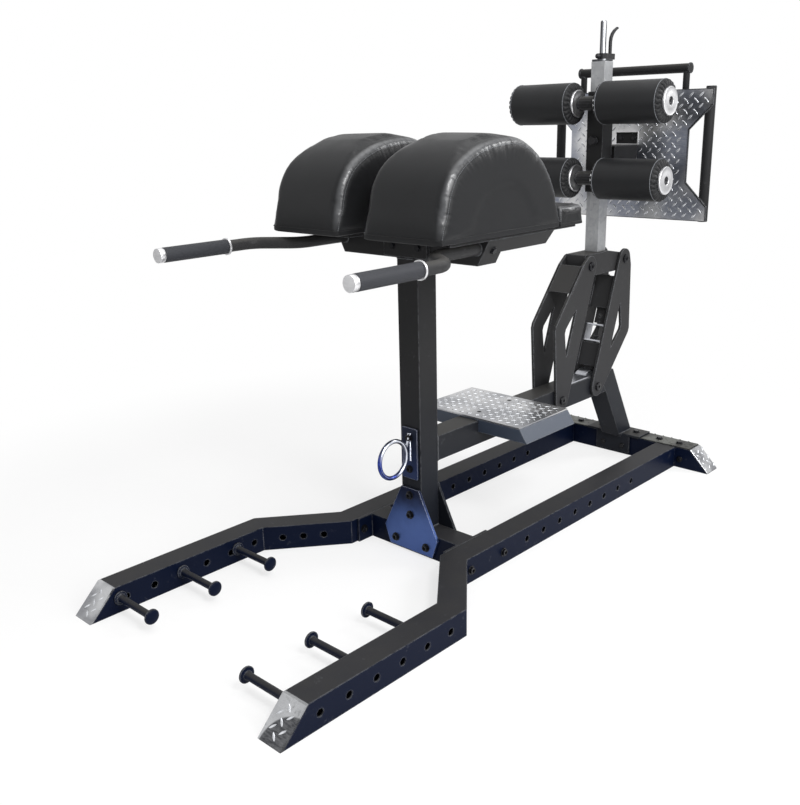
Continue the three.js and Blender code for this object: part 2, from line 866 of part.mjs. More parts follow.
// Side view of a hip pad as shares of its reach from the apex and of its height above the board.
const padFrontShares = [
  [1, 0],
  [0.955, 0.13],
  [0.905, 0.28],
  [0.841, 0.5],
  [0.717, 0.7],
  [0.529, 0.85],
  [0.3, 0.945],
];
const padRearShares = [
  [0, 1],
  [0.258, 0.962],
  [0.532, 0.8],
  [0.738, 0.6],
  [0.89, 0.365],
  [0.971, 0.161],
  [1, 0],
];

// Shrinks a closed loop of (y, z) pairs towards the middle of its base by a distance.
function drawnIn(loop, distance, middle) {
  return loop.map(([y, z]) => {
    const away = new THREE.Vector2(y - middle[0], z - middle[1]);
    const length = away.length();
    away.multiplyScalar(Math.max(length - distance, 0) / length);
    return [middle[0] + away.x, middle[1] + away.y];
  });
}

// From the middle of a pad's side face to its top: how far each ring lies in from the side, and
// how far it is drawn in from the loop, as shares of the edge's rounding.
const sideRingShares = [
  [0, 3],
  [0.1, 1.5],
  [0.3, 0.75],
  [0.42, 0.3],
  [0.62, 0.08],
  [1.3, 0],
];

// A padded form from x0 to x1: a loop crowned across the middle and eased over at both sides.
function cushion(loop, middle, x0, x1, edge) {
  const ring = ([inward, share], from, direction) =>
    drawnIn(loop, share * edge, middle).map(
      ([y, z]) => new THREE.Vector3(from + direction * inward * edge, y, z),
    );
  const near = sideRingShares.map((shares) => ring(shares, x0, 1));
  const far = sideRingShares.map((shares) => ring(shares, x1, -1));
  const top = Math.max(...loop.map((pair) => pair[1]));
  const foot = middle[1];
  const crown = [1 / 4, 1 / 2, 3 / 4].map((share) =>
    loop.map(([y, z]) => {
      const lift = (padTopCrown * Math.sin(Math.PI * share) * (z - foot)) / (top - foot);
      return new THREE.Vector3(x0 + (x1 - x0) * share, y, z + lift);
    }),
  );
  return lofted([...near, ...crown, ...far.reverse()]);
}

// A split hip pad: a dome in side view on a flat base.
function hipPad(side) {
  const base = padSeatHeight + seam;
  const board = base + padBoard;
  const rise = padHeight - padBoard - padTopCrown;
  const apexY = uprightY + padApexLag;
  const frontEndY = uprightY - padFrontReach;
  const rearEndY = padBreakY - padClearance;
  const front = padFrontShares.map(([u, v]) => [apexY + u * (frontEndY - apexY), board + v * rise]);
  const rear = padRearShares.map(([u, v]) => [apexY + u * (rearEndY - apexY), board + v * rise]);
  const points = [...front, ...rear].map(([y, z]) => new THREE.Vector2(y, z));
  const arc = new THREE.SplineCurve(points).getPoints(points.length * 2);
  const drawn = padBoard / 4;
  const feet = [
    [rearEndY - drawn, base],
    [frontEndY + drawn, base],
  ];
  const loop = [...arc.map((point) => [point.x, point.y]), ...feet];
  const x0 = Math.min(side * (padGap / 2), side * (padGap / 2 + padWidth));
  return cushion(loop, [apexY, base], x0, x0 + padWidth, padEdge);
}

// The flat pad behind each hip pad.
function rearPad(side) {
  const base = padSeatHeight + seam;
  const front = padBreakY;
  const rear = padBreakY + rearPadDepth;
  const top = base + rearPadHeight - padTopCrown;
  const corner = rearPadEdge;
  const shape = new THREE.Shape();
  shape.moveTo(front, base);
  shape.lineTo(rear, base);
  shape.lineTo(rear, top - corner);
  shape.quadraticCurveTo(rear, top, rear - corner, top);
  shape.lineTo(front + corner, top);
  shape.quadraticCurveTo(front, top, front, top - corner);
  const loop = shape.extractPoints(bendParts).shape.map((point) => [point.x, point.y]);
  const x0 = Math.min(side * (padGap / 2), side * (padGap / 2 + padWidth));
  return cushion(loop, [(front + rear) / 2, base], x0, x0 + padWidth, rearPadEdge);
}

// A handle: a bent tube from the carrier's front face, out and forwards to the grip.
function handleBar(side) {
  const point = (x, y) => new THREE.Vector3(side * x, y, handleHeight);
  const start = uprightFrontY - seam;
  const stubX = carrierTopWidth / 2 - handleStubInset;
  const gripX = handleSpread / 2;
  const route = (extra) =>
    eased(
      [
        point(stubX, start + extra),
        point(stubX, uprightY - handleInnerBend),
        point(gripX, uprightY - handleOuterBend),
        point(gripX, handleTipY + sheetThickness + seam - extra),
      ],
      handleBendRadius,
    );
  const outer = pipe(route(0), handleTube);
  const inner = pipe(route(overrun), handleTube - 2 * handleWall, holeSides);
  return cut(outer, inner);
}

// The sleeve under a grip, with a collar at its rear and a cap that closes the tube's end.
function gripCore() {
  const bore = handleTube / 2 + seam;
  const skin = sleeveDiameter / 2;
  const collar = gripCapLength + gripLength;
  return turned(
    [
      [0, 0],
      [gripCap / 2 - seam, 0],
      [gripCap / 2, gripCapLength / 8],
      [gripCap / 2, gripCapLength],
      [skin, gripCapLength],
      [skin, collar],
      [collarDiameter / 2, collar],
      [collarDiameter / 2, collar + collarThickness],
      [bore, collar + collarThickness],
      [bore, sheetThickness],
      [0, sheetThickness],
    ],
    "y",
    plainSides,
  );
}

function grip() {
  const inner = sleeveDiameter / 2 + seam;
  const outer = gripDiameter / 2;
  const from = gripCapLength + seam;
  const to = gripCapLength + gripLength - seam;
  const easing = outer - inner;
  return turned(
    [
      [inner, from],
      [outer - easing / 3, from],
      [outer, from + easing],
      [outer, to - easing],
      [outer - easing / 3, to],
      [inner, to],
      [inner, from],
    ],
    "y",
    plainSides,
  );
}

// Side view of a link plate in its own frame: (across, along) from the lower pivot. It is straight
// on one edge and bowed on the other, with a three-cornered window between.
function linkShape() {
  const shape = new THREE.Shape();
  const end = linkStraightEdge;
  shape.moveTo(end, 0);
  shape.lineTo(end, linkLength);
  shape.absarc(0, linkLength, end, 0, (Math.PI * 3) / 4, false);
  shape.lineTo(-linkShoulderReach, linkShoulder);
  shape.lineTo(-linkBow, linkKnee + end / 4);
  shape.lineTo(-linkBow, linkKnee - end / 4);
  shape.absarc(0, 0, end, Math.PI + Math.atan2(linkBow - end, linkKnee), Math.PI * 2, false);
  return shape;
}

function linkWindow() {
  const shift = linkStrip / 12;
  const [slotFoot, slotHead] = [linkKnee - slotReach, linkKnee + slotReach];
  return outline([
    [-linkStrip, slotFoot],
    [-linkStrip, slotHead],
    [-linkStrip - shift, slotHead],
    [-slotKnee, linkKnee + shift * 3],
    [-slotKnee, linkKnee - shift * 3],
    [-linkStrip - shift, slotFoot],
  ]);
}

// Two plates of a link. Direction 1 bows to the front and -1 to the rear.
function linkPlates(direction) {
  const bore = pivotPin + 2 * runningGap;
  const facing = (shape) =>
    outline(shape.extractPoints(bendParts).shape.map((point) => [direction * point.x, point.y]));
  return [-1, 1].map((side) => {
    const [x0, x1] = [side * linkInnerX, side * linkOuterX].sort((a, b) => a - b);
    const reach = [x0 - overrun, x1 + overrun];
    return cut(
      extruded(facing(linkShape()), "x", x0, x1),
      extruded(facing(linkWindow()), "x", ...reach),
      round("x", 0, 0, bore, ...reach),
      round("x", 0, linkLength, bore, ...reach),
    );
  });
}

// The front link: two plates under a slanted cover, closed at the knee side.
function frontLink() {
  const slope = (linkBow - linkShoulderReach) / (linkShoulder - linkKnee - linkStraightEdge / 4);
  const edge = (s) => -linkShoulderReach - (linkShoulder - s) * slope;
  const coverFoot = linkShoulder - linkCoverLength;
  const cover = outline([
    [edge(coverFoot), coverFoot],
    [edge(coverFoot) + linkCoverThickness, coverFoot],
    [edge(linkShoulder) + linkCoverThickness, linkShoulder],
    [edge(linkShoulder), linkShoulder],
  ]);
  return joined(...linkPlates(1), extruded(cover, "x", -linkOuterX + seam, linkOuterX - seam));
}

// The rear link: two plates joined by an upper and a lower web.
function rearLink() {
  const side = linkInnerX + weldDepth;
  const web = (foot, head) =>
    block(-side, side, -webInset - webThickness / 2, -webInset + webThickness / 2, foot, head);
  const lower = web(lowerWebFoot, latchFoot - lowerWebGap);
  const upper = web(latchHead + upperWebGap, linkLength - upperWebDrop);
  return joined(...linkPlates(-1), lower, upper);
}

// A pivot pin with a round head at each end, about its own middle.
function pivot() {
  const end = linkOuterX + seam;
  const head = end + pivotHeadThickness;
  return turned(
    [
      [0, -head],
      [pivotHead / 2 - seam, -head],
      [pivotHead / 2, -head + pivotHeadThickness / 4],
      [pivotHead / 2, -end],
      [pivotPin / 2, -end],
      [pivotPin / 2, end],
      [pivotHead / 2, end],
      [pivotHead / 2, head - pivotHeadThickness / 4],
      [pivotHead / 2 - seam, head],
      [0, head],
    ],
    "x",
    plainSides,
  );
}

// The drum that the lock's shoe grips: a round crest about the rear pivot on a long base plate.
function lockDrum() {
  const foot = tube / 2 + seam;
  const base = block(
    -drumBaseWidth / 2,
    drumBaseWidth / 2,
    -drumBaseLead,
    drumBaseLength - drumBaseLead,
    foot,
    foot + drumBaseThickness,
  );
  const crest = round("x", 0, 0, 2 * drumRadius, -drumWidth / 2, drumWidth / 2, 2 * fineSides);
  const clear = 2 * drumRadius;
  const below = block(-drumBaseWidth, drumBaseWidth, -clear, clear, -clear, foot + weldDepth);
  return joined(base, cut(crest, below));
}

// The open box that guides the lock's stem between the two plates of the rear link.
function latchBox() {
  const half = linkInnerX - seam;
  const depth = latchDepth / 2;
  const outer = block(-half, half, -depth, depth, latchFoot, latchHead);
  const inner = block(
    -half + latchWall,
    half - latchWall,
    -depth - overrun,
    depth + overrun,
    latchFoot + latchWall,
    latchHead - latchWall,
  );
  const bore = stemDiameter + 2 * runningGap;
  return cut(outer, inner, round("z", 0, 0, bore, latchFoot - overrun, latchHead + overrun));
}

// The lock's sliding piece: a shoe that follows the drum, a stem, an eye bar and a pull wire.
function lockSlider() {
  const face = drumRadius + runningGap;
  const [wide, deep] = [shoeWidth / 2, shoeDepth / 2];
  const shoe = block(-wide, wide, -deep, deep, drumRadius / 2, face + shoeHeight);
  const hollow = round("x", 0, 0, 2 * face, -shoeWidth, shoeWidth, 2 * fineSides);
  const stem = round("z", 0, 0, stemDiameter, face + shoeHeight / 2, stemHead + eyeBarThickness);
  const collar = round("z", 0, 0, 2 * stemDiameter, latchFoot + 3 * latchWall, latchFoot + 4 * latchWall);
  const bar = block(
    -eyeBarWidth / 2,
    eyeBarWidth / 2,
    -eyeBarThickness / 2,
    eyeBarThickness / 2,
    stemHead,
    eyeBarHead,
  );
  const eye = round("y", 0, stemHead + eyeRise, eyeHole, -eyeBarThickness, eyeBarThickness, holeSides);
  const wireHead = linkLength - pullWireDrop;
  const wire = round("z", 0, 0, pullWire, eyeBarHead - weldDepth, wireHead, holeSides);
  return joined(cut(shoe, hollow), stem, collar, cut(bar, eye), wire);
}

// The head: a folded box open below, level from the front to the mast and sloped behind it.
function headBlock() {
  const half = tube / 2;
  const front = -headFrontMargin;
  const rear = linkPitch + headRearMargin;
  const flat = mastSetback + mastTube / 2 + wall;
  const side = outline([
    [front, -half],
    [rear, -half],
    [rear, half - headSlope],
    [flat, half],
    [front, half],
  ]);
  const outer = extruded(side, "x", -half, half);
  const inside = outline([
    [front + headWall, -half - overrun],
    [rear - headWall, -half - overrun],
    [rear - headWall, half - headSlope - headWall],
    [flat, half - headWall],
    [front + headWall, half - headWall],
  ]);
  const inner = extruded(inside, "x", -half + headWall, half - headWall);
  const bore = pivotPin + 2 * seam;
  const bores = [0, linkPitch].map((y) => round("x", y, 0, bore, -linkOuterX, linkOuterX));
  const passage = round("z", 0, mastSetback, cableHole, 0, half + overrun, holeSides);
  return cut(outer, inner, passage, ...bores);
}

// The mast: a hollow square tube with a hole for the cable in its rear wall.
function mast() {
  const half = mastTube / 2;
  const inner = half - mastWall;
  const foot = mastFoot - headZ;
  const head = mastTop - headZ;
  const outer = block(-half, half, mastSetback - half, mastSetback + half, foot, head);
  const hollow = block(
    -inner,
    inner,
    mastSetback - inner,
    mastSetback + inner,
    foot - overrun,
    head + overrun,
  );
  const reach = [mastSetback, mastSetback + mastTube];
  const entry = round("y", 0, cableEntryZ - headZ, cableHole, ...reach, holeSides);
  return cut(outer, hollow, entry);
}

// The polished rod on top of the mast, with a square flange and a plug that fits inside.
function gripRod() {
  const half = mastTube / 2;
  const plug = half - mastWall - seam;
  const square = (reach, foot, head) =>
    block(-reach, reach, mastSetback - reach, mastSetback + reach, foot, head);
  const head = mastTop + rodLength - headZ;
  const rod = turned(
    [
      [0, rodFoot],
      [rodDiameter / 2, rodFoot],
      [rodDiameter / 2, head - rodDiameter / 8],
      [rodDiameter / 2 - rodDiameter / 8, head],
      [0, head],
    ],
    "z",
    plainSides,
    [0, mastSetback, 0],
  );
  const flange = square(half, rodFoot, rodFoot + rodFlangeThickness);
  return joined(flange, square(plug, rodFoot - rodPlugLength, rodFoot + weldDepth), rod);
}

// The clamp round the rod that carries the release lever, with a round knob on its front.
function leverClamp() {
  const head = clampFoot + clampHeight;
  const middle = clampFoot + clampHeight / 2;
  const reach = [clampFoot - overrun, head + overrun];
  const pivotY = mastSetback + clampTail;
  const slotEnd = pivotY + leverWidth / 2 + leverCheekGap;
  const body = round("z", 0, mastSetback, clampDiameter, clampFoot, head);
  const half = clampWidth / 2;
  const tail = block(-half, half, mastSetback, slotEnd + cableLug, clampFoot, head);
  const slit = leverThickness / 2 + leverCheekGap;
  const slot = block(-slit, slit, pivotY - leverWidth, slotEnd, ...reach);
  const pin = round("x", pivotY, middle, leverPivotHole, -half, half, holeSides);
  const knobY = mastSetback - knobReach;
  const knob = new THREE.SphereGeometry(knobDiameter / 2, pipeSides, pipeSides / 2);
  knob.translate(0, knobY, middle);
  const neck = round("y", 0, middle, knobDiameter / 2, knobY, mastSetback, holeSides);
  const bore = round("z", 0, mastSetback, rodDiameter + 2 * seam, ...reach);
  return cut(joined(cut(joined(body, tail), slot), pin, neck, solid(knob)), bore);
}

// The release lever about its pivot: a flat blade that rises beside the rod and flares away.
function releaseLever() {
  const half = leverWidth / 2;
  const shape = new THREE.Shape();
  shape.moveTo(half, 0);
  shape.lineTo(half, leverLength / 2);
  shape.quadraticCurveTo(half, leverLength * 0.8, leverFlare + half, leverLength);
  shape.lineTo(leverFlare - half / 2, leverLength + half / 2);
  shape.quadraticCurveTo(-half, leverLength * 0.85, -half, leverLength / 2);
  shape.lineTo(-half, 0);
  shape.absarc(0, 0, half, Math.PI, 2 * Math.PI, false);
  const blade = extruded(shape, "x", -leverThickness / 2, leverThickness / 2);
  const bore = leverPivotHole + 2 * seam;
  return cut(blade, round("x", 0, 0, bore, -leverWidth, leverWidth, holeSides));
}

// The release cable: from the clamp down behind the mast, into it, and down through the head.
function releaseCable() {
  const back = mastSetback + clampTail + (leverWidth + cableLug) / 2 + leverCheekGap;
  const entry = cableEntryZ - headZ;
  const wallY = mastSetback + mastTube / 2;
  const inside = mastSetback + mastTube / 4;
  const at = (y, z) => new THREE.Vector3(0, y, z);
  const route = [
    at(back, clampFoot - seam),
    at(back, clampFoot - cableSag),
    at((back + wallY) / 2, entry + cableDiameter),
    at(inside, entry - cableDiameter / 2),
    at(inside, entry - mastTube),
    at(mastSetback, entry - 2 * mastTube),
    at(mastSetback, 0),
  ];
  return pipe(eased(route, cableBend), cableDiameter, holeSides);
}

// The carriage: a sleeve on the mast, a block for each roller axle and an arm to the foot plate.
function carriage() {
  const half = carriageTube / 2;
  const inner = half - carriageWall;
  const sleeve = block(-half, half, -half, half, 0, carriageLength);
  const bore = block(-inner, inner, -inner, inner, -overrun, carriageLength + overrun);
  const blocks = axleHeights.map((height) => {
    const shape = new THREE.Shape();
    const reach = axleBlock / 2;
    shape.moveTo(-half + weldDepth, height + reach);
    shape.lineTo(-axleReach, height + reach);
    shape.absarc(-axleReach, height, reach, Math.PI / 2, Math.PI * 1.5, false);
    shape.lineTo(-half + weldDepth, height - reach);
    const boss = rollerInner - runningGap;
    const collar = round("x", -axleReach, height, axleCollar, -boss, boss);
    return joined(extruded(shape, "x", -half, half), collar);
  });
  const holes = axleHeights.map((height) =>
    round("x", -axleReach, height, axleDiameter + 2 * seam, -carriageTube, carriageTube),
  );
  const armEnd = footPlateReach - seam;
  const armFoot = armTop - armHeight;
  const arm = block(-armWidth / 2, armWidth / 2, half - weldDepth, armEnd, armFoot, armTop);
  const armHollow = block(
    -armWidth / 2 + wall,
    armWidth / 2 - wall,
    half + wall,
    armEnd + overrun,
    armFoot + wall,
    armTop - wall,
  );
  const bushEnd = -half - plungerBushLength;
  const bush = round("y", 0, plungerHeight, plungerBush, bushEnd, -half + weldDepth);
  const plungerBore = round("y", 0, plungerHeight, plungerStem + 2 * seam, -carriageTube, 0);
  return cut(joined(sleeve, ...blocks, cut(arm, armHollow), bush), bore, plungerBore, ...holes);
}

// The plunger that presses on the mast through the sleeve, with a turned knob in front.
function clampPlunger() {
  const tip = -mastTube / 2 - seam;
  const bush = -carriageTube / 2 - plungerBushLength - plungerKnobGap;
  const end = bush - plungerKnobLength;
  return turned(
    [
      [0, end],
      [plungerKnob / 2 - plungerKnobGap, end],
      [plungerKnob / 2, end + plungerKnobLength / 4],
      [plungerKnob / 2, bush - plungerKnobLength / 4],
      [plungerKnob / 3, bush],
      [plungerStem / 2, bush],
      [plungerStem / 2, tip],
      [0, tip],
    ],
    "y",
    plainSides,
  );
}

// A roller's spool: a disc at each end of a core that turns on the axle.
function rollerSpool() {
  const bore = axleDiameter / 2 + runningGap;
  const inner = rollerInner + rollerDiscThickness;
  const outer = rollerOuter - rollerDiscThickness;
  const rim = rollerDisc / 2;
  const easing = rollerDiscThickness / 4;
  return turned(
    [
      [bore, rollerInner],
      [rim - easing, rollerInner],
      [rim, rollerInner + easing],
      [rim, inner],
      [rollerCore / 2, inner],
      [rollerCore / 2, outer],
      [rim, outer],
      [rim, rollerOuter - easing],
      [rim - easing, rollerOuter],
      [bore, rollerOuter],
      [bore, rollerInner],
    ],
    "x",
    plainSides,
  );
}

// A roller's foam: a cylinder whose ends are eased over and drawn in to the discs.
function rollerPad() {
  const from = rollerInner + rollerDiscThickness + seam;
  const to = rollerOuter - rollerDiscThickness - seam;
  const skin = rollerFoam / 2;
  const rim = rollerDisc / 2;
  const core = rollerCore / 2 + seam;
  const half = [
    [core, 0],
    [rim - rollerEndDraw, 0],
    [rim + rollerEndDraw, rollerEndDraw / 3],
    [skin - rollerEndDraw, rollerShoulder / 3],
    [skin - rollerEndDraw / 4, (rollerShoulder * 2) / 3],
    [skin, rollerShoulder],
  ];
  const near = half.map(([radius, inward]) => [radius, from + inward]);
  const far = half.map(([radius, inward]) => [radius, to - inward]).reverse();
  return turned([...near, ...far, near[0]], "x");
}

// The outline of the foot plate: a rectangle with a wide notch in each side.
function footOutline(inset) {
  const half = footPlateWidth / 2 - inset;
  const waist = half - footNotchDepth;
  const notchFoot = footNotchFoot - footPlateDrop;
  const notchHead = footPlateTop - footNotchHead;
  const right = [
    [half, inset - footPlateDrop],
    [half, notchFoot - inset],
    [waist, notchFoot + footNotchDepth - inset],
    [waist, notchHead - footNotchDepth + inset],
    [half, notchHead + inset],
    [half, footPlateTop - inset],
  ];
  const left = right.map(([x, z]) => [-x, z]).reverse();
  return outline([...right, ...left]);
}

// The foot plate's steel frame: a backing plate, a grab bar down each side and one over the top.
function footFrame() {
  const plate = extruded(footOutline(0), "y", footPlateRear - footPlateThickness, footPlateRear);
  const half = topBarPost / 2;
  const postFoot = footPlateTop - 2 * topBarPost;
  const tabFront = footPlateRear - weldDepth;
  const end = topBarWidth / 2;
  const barX = footPlateWidth / 2 - sideBarInset;
  const barFoot = -footPlateDrop - sideBarDrop;
  const barHead = footPlateTop + sideBarRise;
  const topBarZ = footPlateTop + topBarRise;
  const sides = [-1, 1].flatMap((side) => {
    const postX = side * (end - topBarOverhang);
    return [
      round("z", side * barX, sideBarReach, sideBar, barFoot, barHead),
      round("z", postX, sideBarReach, topBarPost, postFoot, topBarZ),
      block(postX - half, postX + half, tabFront, sideBarReach, postFoot, postFoot + topBarPost),
    ];
  });
  const bar = round("x", sideBarReach, topBarZ, topBar, -end, end);
  return joined(plate, ...sides, bar);
}

// The tread plate on the face of the foot plate, with a window over the arm.
function footTread() {
  const rear = footPlateReach + sheetThickness;
  const sheet = extruded(footOutline(treadMargin), "y", footPlateReach, rear);
  const half = windowWidth / 2;
  const reach = [footPlateReach - overrun, rear + overrun];
  const foot = armTop + windowLift;
  return cut(sheet, block(-half, half, ...reach, foot, foot + windowHeight));
}

// Puts a mesh at a place.
function placed(mesh, x, y, z) {
  mesh.position.set(x, y, z);
  return mesh;
}

function baseGroup() {
  const group = new THREE.Group();
  for (const [name, side] of [["left", -1], ["right", 1]]) {
    group.add(piece(name + "_rail", rail(side), blackPaint));
    group.add(piece(name + "_end_cap", endCap(side), treadPlate));
    pegShares.forEach((share, i) => {
      const peg = piece(name + "_band_peg_" + (i + 1), bandPeg(), blackPaint);
      peg.rotation.z = side > 0 ? Math.PI : 0;
      const pegY = frontY + legLength * share;
      group.add(placed(peg, side * (legX - tube / 2 - seam), pegY, pegHeight));
    });
  }
  group.add(piece("rear_beam", rearBeam(), blackPaint));
  group.add(piece("front_crossmember", frontCrossmember(), blackPaint));
  const gussetFront = uprightFrontY - seam - gussetThickness;
  const gussetRear = uprightRearY + seam;
  for (const [name, from] of [["front_gusset", gussetFront], ["rear_gusset", gussetRear]]) {
    group.add(piece(name, gusset(from, from + gussetThickness), blackPaint));
  }
  group.add(piece("upright", upright(), blackPaint));
  group.add(piece("rope_ring", ropeRing(), polished));
  group.add(piece("spine", spine(), blackPaint));
  group.add(piece("rear_strut", rearStrut(), blackPaint));
  group.add(piece("step_frame", stepFrame(), blackPaint));
  group.add(piece("step_tread", stepTread(), treadPlate));
  return group;
}

function padGroup() {
  const group = new THREE.Group();
  group.add(piece("pad_carrier", padCarrier(), blackPaint));
  for (const [name, side] of [["left", -1], ["right", 1]]) {
    group.add(piece(name + "_hip_pad", hipPad(side), vinyl));
    group.add(piece(name + "_rear_pad", rearPad(side), vinyl));
    group.add(piece(name + "_handle_bar", handleBar(side), blackPaint));
    const tip = [(side * handleSpread) / 2, handleTipY, handleHeight];
    group.add(placed(piece(name + "_grip_core", gripCore(), silver), ...tip));
    group.add(placed(piece(name + "_grip", grip(), gripRubber), ...tip));
  }
  return group;
}

// The linkage: both links lean by the same angle about their lower pivots.
function linkageGroup() {
  const group = new THREE.Group();
  group.add(placed(piece("front_lower_pivot", pivot(), zinc), 0, frontPivotY, spineHeight));
  group.add(placed(piece("rear_lower_pivot", pivot(), zinc), 0, rearPivotY, spineHeight));
  group.add(placed(piece("lock_drum", lockDrum(), zinc), 0, rearPivotY, spineHeight));
  const front = new THREE.Group();
  front.add(piece("front_link", frontLink(), blackPaint));
  const rear = new THREE.Group();
  rear.add(piece("rear_link", rearLink(), blackPaint));
  rear.add(piece("latch_box", latchBox(), zinc));
  rear.add(piece("lock_slider", lockSlider(), blackPaint));
  front.position.set(0, frontPivotY, spineHeight);
  rear.position.set(0, rearPivotY, spineHeight);
  front.rotation.x = -linkLean;
  rear.rotation.x = -linkLean;
  group.add(front, rear, headGroup());
  return group;
}

// The head and all that the mast carries, about the front link's upper pivot.
function headGroup() {
  const group = new THREE.Group();
  group.position.set(0, headY, headZ);
  group.add(piece("head_block", headBlock(), blackPaint));
  group.add(piece("front_upper_pivot", pivot(), zinc));
  group.add(placed(piece("rear_upper_pivot", pivot(), zinc), 0, linkPitch, 0));
  group.add(piece("mast", mast(), zinc));
  group.add(piece("grip_rod", gripRod(), polished));
  group.add(piece("lever_clamp", leverClamp(), blackPlastic));
  const lever = piece("release_lever", releaseLever(), blackPlastic);
  group.add(placed(lever, 0, mastSetback + clampTail, clampFoot + clampHeight / 2));
  group.add(piece("release_cable", releaseCable(), blackPlastic));
  group.add(carriageGroup());
  return group;
}

// The roller carriage, about the mast's centre line at the height of the sleeve's foot.
function carriageGroup() {
  const group = new THREE.Group();
  group.position.set(0, mastSetback, carriageZ - headZ);
  group.add(piece("carriage", carriage(), blackPaint));
  group.add(placed(piece("clamp_plunger", clampPlunger(), blackPlastic), 0, 0, plungerHeight));
  group.add(piece("foot_frame", footFrame(), blackPaint));
  group.add(piece("foot_tread", footTread(), treadPlate));
  const axleEnd = rollerOuter - axleSetIn;
  ["lower", "upper"].forEach((level, i) => {
    const axle = round("x", 0, 0, axleDiameter, -axleEnd, axleEnd, plainSides);
    group.add(placed(piece(level + "_axle", axle, zinc), 0, -axleReach, axleHeights[i]));
    for (const [name, turn] of [["left", Math.PI], ["right", 0]]) {
      const spool = piece(level + "_" + name + "_spool", rollerSpool(), silver);
      const foam = piece(level + "_" + name + "_roller", rollerPad(), vinyl);
      [spool, foam].forEach((mesh) => {
        mesh.rotation.z = turn;
        group.add(placed(mesh, 0, -axleReach, axleHeights[i]));
      });
    }
  });
  return group;
}

const machine = new THREE.Group();
machine.add(baseGroup(), padGroup(), linkageGroup());

export default machine;
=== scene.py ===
"""The looks of a glute ham developer: painted tube base, split hip pads, and a mast that carries
ankle rollers and a foot plate. Sizes are written in millimetres and turned to metres by mm."""
import math

import bmesh
import bpy
import numpy as np
from mathutils import Matrix, Vector
from mathutils.geometry import tessellate_polygon


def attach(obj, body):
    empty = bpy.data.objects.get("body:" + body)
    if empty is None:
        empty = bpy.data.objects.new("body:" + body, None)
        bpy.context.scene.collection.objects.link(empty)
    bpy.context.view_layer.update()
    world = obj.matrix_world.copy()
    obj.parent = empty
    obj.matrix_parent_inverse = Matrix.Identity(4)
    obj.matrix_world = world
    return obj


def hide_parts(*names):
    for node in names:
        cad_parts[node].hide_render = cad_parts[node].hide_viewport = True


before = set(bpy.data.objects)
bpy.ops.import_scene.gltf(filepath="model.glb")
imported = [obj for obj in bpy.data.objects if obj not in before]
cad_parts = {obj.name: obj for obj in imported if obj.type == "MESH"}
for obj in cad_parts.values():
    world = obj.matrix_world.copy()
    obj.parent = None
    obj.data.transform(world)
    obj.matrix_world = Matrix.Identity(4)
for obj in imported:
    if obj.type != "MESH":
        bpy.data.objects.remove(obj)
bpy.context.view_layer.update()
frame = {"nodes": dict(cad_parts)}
nodes = frame["nodes"]
scene = bpy.context.scene
mm = 0.001
to_right, to_rear, to_top, to_front = (1, 0, 0), (0, 1, 0), (0, 0, 1), (0, -1, 0)
hands = ((-1, "left"), (1, "right"))

# Places of the frame, the same as in the solids
seam = 0.3
tube = 75
half_tube = tube / 2
leg_x = 384
rail_x = 215.5
front_y, rear_y = -1039, 1039
leg_length = 589.85
upright_y = -137.15
upright_front, upright_rear = upright_y - half_tube, upright_y + half_tube
beam_front = rear_y - tube
cover_top, cover_bolts = 78.3, (170, 250)
ring_y, ring_z, ring_reach = upright_front - seam - 75, 314, 54
step_front, step_depth, step_top = 88.18, 253, 361.1
step_bolts = (step_front + 53, step_front + 208)
pad_seat = 951.3
pad_front, pad_apex, pad_rear = -386.15, -128.15, 103.85
pad_inner, pad_outer = 45, 308
handle_inner, handle_x, handle_z, handle_tip = 242, 352, 920, -729.15
spine_z = 315
front_pivot_y, rear_pivot_y = 529, 751
link_length, link_reach = 460, 149
link_lean = math.asin(link_reach / link_length)
head_y = front_pivot_y + link_reach
head_z = spine_z + math.sqrt(link_length**2 - link_reach**2)
mast_y = head_y + 101
mast_top = 1403
axle_y = mast_y - 70
axle_heights = {"lower": 1035.5, "upper": 1273}
foot_face = mast_y + 178
foot_rear = foot_face + 9.3
foot_half, foot_waist = 306, 228
foot_low, notch_low, notch_high, foot_high = 886, 935, 1260, 1311
bar_y = foot_rear + 15.5


def placed(name, data):
    """A new object of some data, linked to the scene."""
    thing = bpy.data.objects.new(name, data)
    scene.collection.objects.link(thing)
    return thing


def stand_camera():
    """Stands the camera where the photograph was taken: 1.24 m above the floor, in front and to the
    right, turned 43.6 degrees to the left, 17 degrees down and 1.3 degrees about its own line."""
    turn, fall, roll = math.radians(43.618), math.radians(17.028), math.radians(-1.349)
    focal_pixels, photo_height, sensor = 930.509, 805, 36
    level_run = math.cos(fall)
    ahead = Vector((-math.sin(turn) * level_run, math.cos(turn) * level_run, -math.sin(fall)))
    level = ahead.cross(Vector(to_top)).normalized()
    above = level.cross(ahead)
    across = level * math.cos(roll) + above * math.sin(roll)
    upward = above * math.cos(roll) - level * math.sin(roll)
    lens = bpy.data.cameras.new("photograph_view")
    lens.sensor_width = sensor
    lens.lens = sensor * focal_pixels / photo_height
    lens.clip_end = 60
    camera = placed("photograph_view", lens)
    camera.matrix_world = Matrix((across, upward, -ahead)).transposed().to_4x4()
    camera.location = Vector((1727.3, -2028.4, 1243.0)) * mm
    scene.camera = camera


stand_camera()


# Materials

def linear(colour, share=1.0):
    """A display colour, each part from 0 to 255, as a share of its linear colour for a shader."""
    parts = np.array(colour, float) / 255
    bent = np.where(parts <= 0.04045, parts / 12.92, ((parts + 0.055) / 1.055) ** 2.4)
    return (*(share * bent).tolist(), 1.0)


